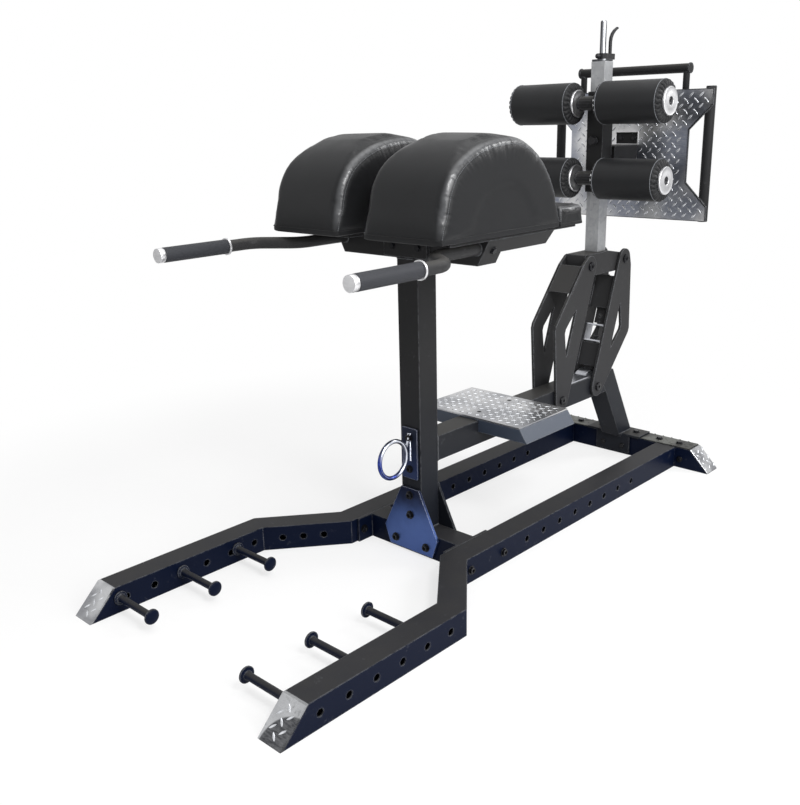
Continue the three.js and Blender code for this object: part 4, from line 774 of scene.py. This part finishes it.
def tread_bars():
    """Raised bars of the step, of the foot plate round its window, and of the leg ends."""
    def on_step(x, y):
        off_bolts = min(math.hypot(x, y - place) for place in step_bolts) > 19
        return abs(x) < 181 and step_front + 10 < y < step_front + 243 and off_bolts

    step = tread(-190, 190, step_front + 1, step_front + step_depth - 1, 21, on_step,
                 (0, 0, step_top), to_right, to_top)
    make("step_tread_bars", step, bar_metal, sheet=True)

    def on_plate(x, z):
        if abs(x) < 52 and 1128 < z < 1188:
            return False
        depth = min(z - notch_low, notch_high - z, foot_half - foot_waist)
        half = foot_half - 13 - (depth + 4 if depth > 0 else 0)
        return abs(x) < half and foot_low + 11 < z < foot_high - 11

    plate = tread(-300, 300, foot_low + 2, foot_high - 2, 25, on_plate, (0, foot_face, 0),
                  to_right, to_front, 24, 6.6, 1.5)
    make("foot_tread_bars", plate, bar_metal, "carriage", sheet=True)
    outward = np.array([0, -1, 1]) / math.sqrt(2)
    caps = [tread(-37, 37, 0, 106, 23, lambda a, b: abs(a) < 30 and 8 < b < 98, (x, front_y, 0),
                  to_right, outward, 22, 6) for x in (-leg_x, leg_x)]
    make("leg_end_tread_bars", caps, bar_metal, sheet=True)


def rear_covers():
    """Dark tread plate on the rear beam's top and bright tread plate on its two sloped ends."""
    y0, y1, pitch = beam_front + 0.6, rear_y - 0.6, 24
    cover = slab(box_loop(111.5, 307, y0, y1, 2), "z", 75.3, cover_top)
    make("rear_beam_cover", on_both(cover), dark_tread)

    def on_cover(x, y):
        off_bolts = all(math.hypot(abs(x) - c, y - rear_y + half_tube) > 17 for c in cover_bolts)
        return 122 < abs(x) < 297 and off_bolts

    bars = tread(-306, 306, beam_front, rear_y, pitch, on_cover, (0, 0, cover_top), to_right,
                 to_top)
    make("rear_cover_bars", bars, dark_tread, sheet=True)
    length = math.hypot(73, 75)
    run, out = np.array([73, 0, -75]) / length, np.array([75, 0, 73]) / length
    corner = np.array([309, 0, 75])
    flat, faces = slab(box_loop(1, length - 1.5, y0, y1, 2), "z", 0.3, 3.3)
    sloped = corner + flat[:, :1] * run + flat[:, 1:2] * to_rear + flat[:, 2:] * out
    bars = tread(0, length, beam_front, rear_y, pitch, lambda a, b: 8 < a < length - 8,
                 corner + out * 3.3, run, out)
    make("rear_end_plates", on_both((sloped, faces)), cap_ground)
    make("rear_end_bars", on_both(bars), bar_metal, sheet=True)


# Base trim

def band_pegs():
    """Six pegs: a flange on a weld fillet, a slim shaft, and a domed head with an eased rim."""
    dome = [(21 * math.cos(a), 152 + 6 * math.sin(a)) for a in np.linspace(0.15, 1.5, 8)]
    rows = [(18.4, 0), (19, 0.6), (19, 4.2), (18.2, 5), (13, 5.2), (11, 6.6), (10, 9), (10, 144),
            (11, 147), (14, 148.6), (20, 149), (21, 150), *dome, (pole, 158)]
    for side, hand in hands:
        for i, share in enumerate((0.158, 0.49, 0.812)):
            centre = (side * (leg_x - half_tube - seam), front_y + leg_length * share, 42)
            name = "%s_%%s_peg_%d" % (hand, i + 1)
            make(name % "turned", turned(rows, (-side, 0, 0), centre, 40), navy, "base",
                 name % "band")


def rope_ring():
    """A bright ring bent from round bar, its lug, and the backing plate with eased corners."""
    face = upright_front - seam - 6
    ring = turned(ring_loop(ring_reach, 0, 6.5, 20), to_right, (0, ring_y, ring_z), 96, False)
    lug = [(face - 15, 293), (face + 0.6, 293), (face + 0.6, 377), (face - 15, 335)]
    beads = [weld([(x, face - 0.3, 293), (x, face - 0.3, 376)], 2.2) for x in (-4, 4)]
    make("bright_rope_ring", [ring, slab(lug, "x", -4, 4, 1.2), *beads], ring_steel_painted_shine, "base",
         "rope_ring")
    make("ring_backing_plate", slab(box_loop(-30, 30, 236, 392, 5), "y", face, face + 6, 1.0),
         dark_blue_plate_painted_reflections)
    make("ring_bolts", [socket_bolt((0, face, z), to_front) for z in (266, 362)], bolt_black)


def handles():
    """Bent handles: tube eased through its two bends, knurled grip, and bright cap and collar."""
    corners = [(handle_inner, upright_front - seam), (handle_inner, -344.15),
               (handle_x, -421.15), (handle_x, handle_tip + 4.3)]
    face = [(19 * s, 0.9 - 0.9 * math.sqrt(1 - (s * 0.95) ** 2)) for s in (0.01, 0.3, 0.6, 0.85)]
    trim = [*face, (18.2, 0.4), (18.8, 1.0), (19, 2), (19, 15.6), (18.4, 16.6), (17.4, 17),
            (17.4, 214), (22.2, 214), (23, 214.8), (23, 219.2), (22.2, 220), (16.4, 220)]
    grip = [(17.7, 17.3), (18.6, 17.3), (19.3, 18.4), (19.5, 20), (19.5, 211), (19.3, 212.6),
            (18.6, 213.7), (17.7, 213.7)]
    for side, hand in hands:
        path = [(side * x, y, handle_z) for x, y in arc_corners(corners, 62, 14)]
        tip = (side * handle_x, handle_tip, handle_z)
        make(hand + "_handle_tube", piped(path, 16, 36), slate, "base", hand + "_handle_bar")
        make(hand + "_grip_trim", turned(trim, to_rear, tip), satin, "base", hand + "_grip_core")
        make(hand + "_knurled_grip", turned(grip, to_rear, tip, 64, False), knurled, "base",
             hand + "_grip")


# Linkage, head and mast

link_end, link_knee, link_bow, link_shoulder = 35.0, link_length * 0.491, 130, (-48, 450)


def link_plate(direction):
    """One plate of a link in its own frame: straight on one edge, bowed on the other to a knee,
    with round ends, a three-cornered window and two bores."""
    end, knee = link_end, link_knee
    turn = math.atan2(link_bow - end, knee)
    outline = np.vstack([
        [(end, 0), (end, link_length)], arc(0, link_length, end, 0, math.pi * 0.75, 18)[1:],
        [link_shoulder, (-link_bow, knee + end / 4), (-link_bow, knee - end / 4)],
        arc(0, 0, end, math.pi + turn, 2 * math.pi, 22)[:-1]])
    low, high = knee - 79, knee + 79
    window = [(-31, low), (-31, high), (-33.6, high), (-70, knee + 7.7), (-70, knee - 7.7),
              (-33.6, low)]
    window = arc_corners(window, [0.6, 0.6, 0.6, 5, 5, 0.6], 5, True)
    loops = [outline, window, ring_loop(0, 0, 10.5), ring_loop(0, link_length, 10.5)]
    return [loop * [direction, 1] for loop in loops]


def links():
    """Both links: a pair of plates each, the front one under its slanted cover, and the rear one
    with its two webs."""
    for direction, word, pivot_y in ((1, "front", front_pivot_y), (-1, "rear", rear_pivot_y)):
        outline, *holes = link_plate(direction)
        shapes = on_both(slab(outline, "x", 39.5, 49.5, 1.0, holes))
        if word == "front":
            x, z = link_shoulder
            foot = x - 99 * (link_bow + x) / (z - link_knee - link_end / 4)
            cover = [(foot, z - 99), (foot + 8, z - 99), (x + 8, z), (x, z)]
            shapes.append(slab(cover, "x", -49.2, 49.2, 1.0))
        else:
            for low, high in ((66, 150), (276, 392)):
                shapes.append(slab(box_loop(-21, -13, low, high), "x", -40.4, 40.4))
                for x in (-38.6, 38.6):
                    shapes.append(weld([(x, -12.6, low + 4), (x, -12.6, high - 4)], 2.2))
        make(word + "_link_plates", leaned(gathered(*shapes), pivot_y), slate, word + "_link",
             word + "_link")


def pivots():
    """Four pivot pins: at each end a shoulder head with a washer and a six-sided recess."""
    places = {"front_lower": (front_pivot_y, spine_z, "base"),
              "rear_lower": (rear_pivot_y, spine_z, "base"),
              "front_upper": (head_y, head_z, "head"),
              "rear_upper": (head_y + rear_pivot_y - front_pivot_y, head_z, "head")}
    rows = symmetric([(5.2, -52.4, 1), (5.2, -55.6, 1), (6.4, -55.8), (12.6, -55.8), (14.2, -55.2),
                      (15, -54), (15, -49.9), (10, -49.9)])
    for name, (y, z, body) in places.items():
        make(name + "_pivot_pin", turned(rows, to_right, (0, y, z), 36), bolt_black, body,
             name + "_pivot")


def mast_top_parts():
    """The polished rod on its square flange, with a weld ring at its foot and an eased tip."""
    foot = mast_top + seam
    flange = slab(box_loop(-25, 25, mast_y - 25, mast_y + 25, 3), "z", foot, foot + 6)
    rod = turned([(10, foot - 12), (10, 1522), (9.3, 1525), (7.5, 1526.6), (5, 1527)], to_top,
                 (0, mast_y, 0), 36)
    circle = [(x, y, foot + 6.2) for x, y in ring_loop(0, mast_y, 10.2, 36)]
    make("polished_rod", [flange, rod, weld(circle, 1.3, True)], mirror, "head", "grip_rod")


def release_cable():
    """The cable's black sheath, from the clamp's lug down behind the mast and into its hole, with a
    tapered ferrule at the lug."""
    back = mast_y + 45 + 10 + 1
    clamp_foot = 1409.6
    entry = 1330
    wall_y, inside = mast_y + 25, mast_y + 12.5
    corners = [(back, clamp_foot - seam), (back, clamp_foot - 62),
               ((back + wall_y) / 2, entry + 5), (inside, entry - 2.5), (inside, entry - 50),
               (mast_y, entry - 100), (mast_y, head_z)]
    path = resampled(arc_corners(corners, 15, 6), 9)
    path = np.column_stack([np.zeros(len(path)), path])
    cable = make("release_cable_sheath", piped(path, 2.5, 16), plastic_black, "head",
                 "release_cable")
    ferrule = turned([(4.4, 0), (4.4, 9), (3.6, 11), (3.2, 24), (2.6, 25)], (0, 0, -1),
                     (0, back, clamp_foot - seam), 24)
    collar = make("cable_ferrule", ferrule, plated, "head")


# Rollers and foot plate

def pleated_end(angle, start, sign, phase):
    """One end of a roller's sleeve as rows of (place, radius). From disc to shoulder, with t from 0
    to 1, the radius is 41 + 25 sin(t pi / 2)^0.9 and the depth 14 (1 - cos(t pi / 2))^1.3. Pleats,
    24 of 1 - |sin(12 a)|^0.5 and deepest half way out, narrow it by 1.6 and sink it by 6."""
    t = np.linspace(0, 1, 16)[:, None]
    fold = 1 - np.abs(np.sin(12 * angle + phase))[None, :] ** 0.5
    wander = 1 + 0.25 * np.sin(5 * angle + 2 * phase)[None, :]
    reach = np.sin(math.pi * np.clip(t * 1.08, 0, 1)) ** 0.7
    radius = 41 + 25 * np.sin(t * math.pi / 2) ** 0.9 - 1.6 * fold * reach
    depth = 14 * (1 - np.cos(t * math.pi / 2)) ** 1.3 + 6 * fold * reach * wander
    row = np.stack([start + sign * depth, radius], axis=-1)
    return row if sign > 0 else row[::-1]


def sleeve(angle, rng):
    """A roller's vinyl as a closed table of (place, radius): core, pleated end, a barrel whose
    radius wanders by seeded waves, pleated end, and core."""
    near, far, bore, barrel_rows = 46.3, 281.7, 17.4, 25
    middle = np.linspace(62, 266, barrel_rows)[:, None]
    dents = sum(rng.uniform(0.05, 0.2) * np.sin(k * angle[None, :] + middle / rng.uniform(20, 60)
                                                + rng.uniform(0, 6)) for k in range(1, 5))
    barrel = np.stack([np.broadcast_to(middle, dents.shape), 65.8 + dents], axis=-1)
    core = np.zeros((1, len(angle), 2))
    return np.concatenate([core + [near, bore], pleated_end(angle, near, 1, rng.uniform(0, 6)),
                           barrel, pleated_end(angle, far, -1, rng.uniform(0, 6)),
                           core + [far, bore]])


def ankle_rollers():
    """Four rollers, each a vinyl sleeve with pleated ends on a spool with dished discs."""
    sides = 264
    angle = np.arange(sides) * 2 * math.pi / sides
    discs = [(13.2, 38), (24, 38), (27, 38.8), (39, 38.8), (41.6, 38.2), (43, 39.6), (43, 45),
             (42, 46), (17, 46), (17, 282), (42, 282), (43, 283), (43, 288.4), (41.6, 289.8),
             (39, 289.2), (27, 289.2), (24, 290), (14, 290), (13.2, 289.4)]
    bar = symmetric([(7, -283.8), (9, -284), (11.6, -284), (12.5, -283)])
    for level, z in axle_heights.items():
        for side, hand in hands:
            name = "%s_%s" % (level, hand)
            body = name + "_roller"
            place, radius = np.moveaxis(sleeve(angle, np.random.default_rng(7 + side + int(z))),
                                        -1, 0)
            points = np.stack([side * place, axle_y + radius * np.cos(angle),
                               z + radius * np.sin(angle)], axis=-1)
            foam = make(name + "_sleeve", grid(points, wrap_rows=True, wrap_columns=True),
                        roller_vinyl, body, body, 75)
            circle = arc(axle_y, z, 65.5, 0, 2 * math.pi, 96)
            welts = [piped([(side * x, *point) for point in circle], 1.1, 8)
                     for x in (60.2, 267.8)]
            make(name + "_welts", welts, thread_and_seam_highlight, body, sharp=60)
            make(name + "_discs", turned(discs, (side, 0, 0), (0, axle_y, z), 64, False), satin,
                 body, name + "_spool")
        make(level + "_axle_bar", turned(bar, to_right, (0, axle_y, z), 36), bolt_black,
             "carriage", level + "_axle")


def foot_frame():
    """The backing plate, a rectangle with a notch in each side, a grab bar down each side and one
    over the top on posts, and the trim and bolts of the window."""
    top_bar, notch = 1377, foot_half - foot_waist
    outline = [(foot_half, foot_low), (foot_half, notch_low), (foot_waist, notch_low + notch),
               (foot_waist, notch_high - notch), (foot_half, notch_high), (foot_half, foot_high)]
    outline += [(-x, z) for x, z in outline[::-1]]
    shapes = [slab(arc_corners(outline, 3, 4, True), "y", foot_rear - 5, foot_rear)]
    bar = [(14.5, 884), (16, 885), (16.5, 887), (16.5, 1316), (16, 1318), (14.5, 1319)]
    post = [(10.4, 1267), (11, 1268), (11, top_bar)]
    for side in (-1, 1):
        x = side * 196
        shapes.append(turned(bar, to_top, (side * 286, bar_y, 0), 32))
        shapes.append(turned(post, to_top, (x, bar_y, 0), 28))
        shapes.append(slab(box_loop(x - 11, x + 11, foot_rear - 1, bar_y, 1), "z", 1267, 1289))
        for line in ((892, 930), (1264, 1306)):
            shapes.append(weld([(side * 273, foot_rear + 2, z) for z in line], 2.4))
    rows = symmetric([(16.6, -211), (17.2, -210), (17.2, -206), (16.6, -205), (15, -205)])
    shapes.append(turned(rows, to_right, (0, bar_y, top_bar), 36))
    make("foot_plate_frame", shapes, black, "carriage", "foot_frame")
    trim = slab(box_loop(-45.5, 45.5, 1134, 1180, 3), "y", foot_face - 1.2, foot_face + 0.4, 0.4,
                [box_loop(-41.5, 41.5, 1138, 1176, 2)])
    make("window_trim", trim, satin, "carriage")
    bolts = [hex_bolt((x, foot_rear - 5, 1157), to_front, 7, 5, 9) for x in (-24, 24)]
    make("window_bolts", bolts, bolt_black, "carriage")


# Pads. The shares give the side view from front foot to apex and from apex to rear foot. Of each
# kind: how far the long edges are rounded, how high the rounding takes to come in full, which row
# of the rounding is the seam, how high the swelling is held, where the lower seam runs and how far
# it stands out, how far the top may swell, and where the pad begins and ends.

front_shares = [(1, 0), (1, 0.13), (0.982, 0.28), (0.922, 0.5), (0.798, 0.7), (0.6, 0.85),
                (0.34, 0.953)]
rear_shares = [(0, 1), (0.3, 0.965), (0.6, 0.81), (0.81, 0.6), (0.945, 0.365), (0.994, 0.161),
               (1, 0)]
pad_kinds = {
    "hip": {"fillet": 26, "foot": 70, "seam": 1, "held": 16, "welt": 15.5, "grow": 0.6,
            "cap": 6.5, "ends": (pad_front, pad_rear)},
    "rear": {"fillet": 11, "foot": 24, "seam": 3, "held": 4, "welt": 9, "grow": 0.2,
             "cap": 3.0, "ends": (pad_rear + 1.5, pad_rear + 109)},
}
pad_narrowed = 2.5
arc_step = 4.0
pucker_seed = 5


def splined(points, parts):
    """A smooth curve through points: on each stretch the cubic whose slopes at its ends are half
    the step between the points before and after."""
    padded = np.vstack([points[:1], points, points[-1:]])
    t = np.linspace(0, 1, parts, endpoint=False)[:, None]
    stretches = []
    for a, b, c, d in zip(padded, padded[1:], padded[2:], padded[3:]):
        slope_b, slope_c = (c - a) / 2, (d - b) / 2
        stretches.append((2 * b - 2 * c + slope_b + slope_c) * t**3
                         + (-3 * b + 3 * c - 2 * slope_b - slope_c) * t**2 + slope_b * t + b)
    return np.vstack(stretches + [points[-1:]])


def pad_arc(kind):
    """The side view of a pad over its board, from the front foot over the top to the rear foot."""
    start, end = pad_kinds[kind]["ends"]
    if kind == "hip":
        board, rise = pad_seat + 15, 232
        halves = [(pad_apex + u * (foot - pad_apex), board + v * rise)
                  for foot, shares in ((start, front_shares), (end, rear_shares))
                  for u, v in shares]
        arc = np.vstack([[(start + 1.5, pad_seat)], splined(np.array(halves), 12),
                         [(end - 3, pad_seat)]])
    else:
        top = pad_seat + 53
        arc = arc_corners([(start, pad_seat), (start, top), (end, top), (end, pad_seat)], 13)
    return resampled(arc, arc_step)


def pad_form(kind):
    """A pad as rows of its side view: carried across from side to side, drawn in round both edges
    by r (1 - sin f) while it goes r (1 - cos f) across, and shrunk to the middle of each side.
    Returns the rows, the two that are seams, and how many columns lie over the top."""
    arc, form = pad_arc(kind), pad_kinds[kind]
    fillet = form["fillet"]
    loop = np.vstack([arc, resampled([arc[-1], arc[0]], 12)[1:-1]])
    weight = np.clip((loop[:, 1:] - pad_seat) / form["foot"], 0.15, 1)
    inward = (inset(loop, -1.0) - loop) * weight
    middle = np.array([(arc[0, 0] + arc[-1, 0]) / 2, arc[0, 1] + 20])
    side = loop + inward * fillet
    bend = np.radians([0, 13, 26, 38, 52, 66, 78])
    half = [(0.0, middle + (side - middle) * share) for share in np.linspace(0.06, 0.955, 15)]
    half += [(fillet * (1 - math.cos(f)), loop + inward * fillet * (1 - math.sin(f)))
             for f in bend]
    x0, x1 = pad_inner + pad_narrowed, pad_outer - pad_narrowed
    views = ([(x0 + across, view) for across, view in half]
             + [(x, loop) for x in np.linspace(x0 + fillet, x1 - fillet, 38)]
             + [(x1 - across, view) for across, view in half[::-1]])
    rows = np.array([np.column_stack([np.full(len(loop), x), view]) for x, view in views])
    seam_row = len(half) - len(bend) + form["seam"]
    return rows, (seam_row, len(rows) - 1 - seam_row), len(arc)


def laced(start, count):
    """Quads across a flat ring of points, each between two neighbours and the two that lie opposite
    them, as a shoe is laced. A single face of so many corners is very slow to subdivide."""
    pairs = [(start + j, start + count - 1 - j) for j in range(count // 2)]
    faces = [[a, b, c, d] for (a, d), (b, c) in zip(pairs, pairs[1:])]
    if count % 2:
        a, d = pairs[-1]
        faces.append([a, a + 1, d])
    return faces


def facing_out(points, faces):
    """The faces, all turned round if the volume that they enclose, a sum of a . (b x c) over their
    triangles, comes out negative."""
    a, b, c, d = points[np.array([face for face in faces if len(face) == 4]).T]
    volume = np.sum(a * np.cross(b, c)) + np.sum(a * np.cross(c, d))
    return faces if volume > 0 else [face[::-1] for face in faces]


def swelled(points, faces, held, cap):
    """The shape after 20 frames of cloth under pressure with the held points still, and no point
    more than its cap from where it started. All in millimetres."""
    frames = 20
    mesh = meshed("swelling", points, faces)
    trial = placed("swelling", mesh)
    group = trial.vertex_groups.new(name="held")
    group.add(np.flatnonzero(held).tolist(), 1.0, "REPLACE")
    cloth = trial.modifiers.new("swell", "CLOTH")
    settings = {
        "quality": 5, "mass": 0.3, "tension_stiffness": 15, "compression_stiffness": 15,
        "shear_stiffness": 5, "bending_stiffness": 0.5, "vertex_group_mass": "held",
        "pin_stiffness": 1.0, "use_pressure": True, "uniform_pressure_force": 4.0}
    for name, value in settings.items():
        setattr(cloth.settings, name, value)
    cloth.settings.effector_weights.gravity = 0
    cloth.collision_settings.use_collision = False
    cloth.point_cache.frame_start, cloth.point_cache.frame_end = 1, frames
    for step in range(1, frames + 1):
        scene.frame_set(step)
    shown = trial.evaluated_get(bpy.context.evaluated_depsgraph_get())
    after = np.empty(len(points) * 3)
    shown.data.vertices.foreach_get("co", after)
    scene.frame_set(1)
    bpy.data.objects.remove(trial)
    bpy.data.meshes.remove(mesh)
    move = after.reshape(-1, 3) / mm - points
    size = np.linalg.norm(move, axis=1)[:, None]
    return points + move * np.minimum(1, cap / np.maximum(size, 1e-6))


def puckers(s, seed):
    """How far the skin rises and falls along a seam at length s: a sum of seeded waves."""
    rng = np.random.default_rng(seed)
    waves = [rng.uniform(0.4, 1) * np.sin(2 * math.pi * s / length + rng.uniform(0, 6))
             for length in (10.5, 14, 19, 27, 43)]
    return sum(waves) / 2.2


def outward_normals(sheet):
    """Unit normals of a grid of points, as the cross product of its two runs."""
    cross = np.cross(np.gradient(sheet, axis=0), np.gradient(sheet, axis=1))
    cross /= np.maximum(np.linalg.norm(cross, axis=2), 1e-9)[..., None]
    middle = sheet.reshape(-1, 3).mean(axis=0)
    return cross * np.sign(np.sum(cross * (sheet - middle)))


def padded_piece(kind):
    """One pad after swelling, with puckers beside its seams and a groove along them. Returns its
    points and faces, and for each seam its line and the way it faces."""
    form = pad_kinds[kind]
    rows, seams, arc_count = pad_form(kind)
    count, columns = rows.shape[:2]
    points, faces = grid(rows, wrap_columns=True)
    faces += [face[::-1] for face in laced(0, columns)] + laced((count - 1) * columns, columns)
    faces = facing_out(points, faces)
    row, column = np.divmod(np.arange(count * columns), columns)
    held = (points[:, 2] < pad_seat + form["held"]) | (column >= arc_count)
    held |= (row < 8) | (row >= count - 8)
    beyond = np.minimum(np.abs(points[:, 0] - pad_inner), np.abs(pad_outer - points[:, 0]))
    flank = (row < seams[0]) | (row > seams[1])
    limit = np.where(flank, 3.0, 2.0 + (form["cap"] - 2.0) * (1 - np.exp(-beyond / 22)))
    points = swelled(points, faces, held, limit[:, None])
    sheet = points.reshape(count, columns, 3)
    normals = outward_normals(sheet)
    apart = np.linalg.norm(np.diff(sheet, axis=0), axis=2).mean(axis=1)
    reach = np.concatenate([[0], np.cumsum(apart)])
    j = np.arange(columns)
    s = np.minimum(j, arc_count - 1) * arc_step
    height = np.clip((sheet[..., 2] - pad_seat - 16) / 18, 0, 1) * (j < arc_count)
    rise = np.zeros((count, columns))
    for k, at in enumerate(seams):
        away = np.abs(reach - reach[at])[:, None]
        near, wide = puckers(s, pucker_seed + k), puckers(s * 0.5, pucker_seed + 9 + k)
        rise += 0.62 * near * np.exp(-(((away - 6) / 7.5) ** 2))
        rise += 0.25 * wide * np.exp(-(((away - 16) / 11) ** 2))
        rise -= 1.1 * np.exp(-((away / 2.2) ** 2))
    sheet = sheet + normals * (rise * height)[..., None]
    lines = [(sheet[at, :arc_count], normals[at, :arc_count]) for at in seams]
    return sheet.reshape(-1, 3), faces, lines


def stitches(line, normals):
    """A row of short threads along a seam, each a slim bar pointed at both ends."""
    pitch, length, radius = 5.0, 3.3, 0.5
    even = resampled(np.hstack([line, normals]), pitch)
    run = np.gradient(even[:, :3], axis=0)
    run /= np.linalg.norm(run, axis=1)[:, None]
    shapes = []
    for centre, out, way in zip(even[3:-3, :3], even[3:-3, 3:], run[3:-3]):
        path = [centre + way * length * u + out * (0.25 + lift)
                for u, lift in ((-0.5, -0.5), (-0.3, 0.15), (0.3, 0.15), (0.5, -0.5))]
        shapes.append(piped(path, np.array([0.5, 1, 1, 0.5]) * radius, 5))
    return gathered(*shapes)


def lower_seam(kind):
    """The slim roll of the seam that goes round a pad just above its board."""
    form = pad_kinds[kind]
    (y0, y1), grow = form["ends"], form["grow"]
    out = grow - pad_narrowed
    loop = box_loop(pad_inner - out, pad_outer + out, y0 - grow, y1 + grow, 8)
    return piped([(x, y, pad_seat + form["welt"]) for x, y in [*loop, loop[0]]], 0.9, 8)


def pads():
    """Hip pads and the flat pads behind them: the right one of each is swelled, and the left one is
    its mirror image."""
    for kind in pad_kinds:
        points, faces, lines = padded_piece(kind)
        for side, hand in hands[::-1]:
            name, flip = "%s_%s_pad" % (hand, kind), np.array([side, 1, 1])
            cushion = make(name + "_cushion", on_side(side, (points, faces)), vinyl, "base", name,
                           60)
            smooth = cushion.modifiers.new("smooth", "SUBSURF")
            smooth.levels = smooth.render_levels = 1
            rows = [stitches(line * flip, normals * flip) for line, normals in lines]
            make(name + "_stitches", rows, thread_and_seam_highlight, sharp=60)
            make(name + "_lower_seam", on_side(side, lower_seam(kind)), vinyl, sharp=60)


def light_stage():
    """A pale floor that keeps the object's shadow, a white surround for the lens and for what is
    glossy or clear, and soft lamps: one large on the right, one above and one low in front."""
    world = bpy.data.worlds.new("studio")
    scene.world = world
    sky = Nodes(world)
    camera, glossy, clear = (sky.add("LightPath", output="Is %s Ray" % kind)
                             for kind in ("Camera", "Glossy", "Transmission"))
    direct = camera.sum_of("MAXIMUM", glossy).sum_of("MAXIMUM", clear)
    white = (255, 255, 255)
    lit, seen = (sky.add("Background", None, {"Color": white, "Strength": strength})
                 for strength in (0.3, 1.0))
    sky.tree.nodes.remove(sky.tree.nodes["Background"])
    sky.blend("World Output", direct, lit, seen)

    ground = Finish("pale_floor", Roughness=0.9, Specular_IOR_Level=0.1)
    ground.dress(Base_Color=ground.over((244, 244, 244), (ground.noise(1.3), (250, 250, 250))))
    x, y = ground.part("X"), ground.part("Y")
    far = (x * x + y * y).eased(0.6, 5.0)
    share = ground.add("LightPath", output="Is Camera Ray") * (far * 0.32 + 0.68)
    glow = ground.add("Emission", None, {"Strength": 1.0})
    ground.blend("Material Output", share, Value(ground, ground.shader.outputs[0]), glow)
    reach = 14 / mm
    mesh = meshed("floor", np.column_stack([box_loop(-reach, reach, -reach, reach), np.zeros(4)]),
                  [[0, 1, 2, 3]])
    mesh.materials.append(ground.material)
    placed("floor", mesh)

    lamps = {
        "right_softbox": ((4.2, -0.2, 2.1), (0, 0.1, 0.7), 3.2, 2.4, 120),
        "top_softbox": ((0.3, 0.2, 4.2), (0, 0.2, 0.6), 3.6, 3.0, 78),
        "front_fill": ((-1.6, -4.2, 1.7), (0, 0, 0.7), 2.6, 2.0, 12),
        "edge_light": ((2.5, -1.15, 3.1), (0.2, -0.1, 0.9), 0.8, 0.8, 60),
        "rear_rim": ((2.3, 3.4, 2.9), (0, 0.3, 0.5), 1.4, 1.2, 55),
    }
    for name, (place, aim, width, height, power) in lamps.items():
        data = bpy.data.lights.new(name, "AREA")
        data.shape = "RECTANGLE"
        data.size, data.size_y = width, height
        data.energy = power
        lamp = placed(name, data)
        lamp.location = place
        lamp.rotation_euler = (Vector(aim) - Vector(place)).to_track_quat("-Z", "Y").to_euler()


release_cable()
base_fasteners()
base_welds()
tread_bars()
rear_covers()
band_pegs()
rope_ring()
handles()
links()
pivots()
mast_top_parts()
ankle_rollers()
foot_frame()
pads()
light_stage()

bpy.context.scene.view_settings.view_transform = "Standard"
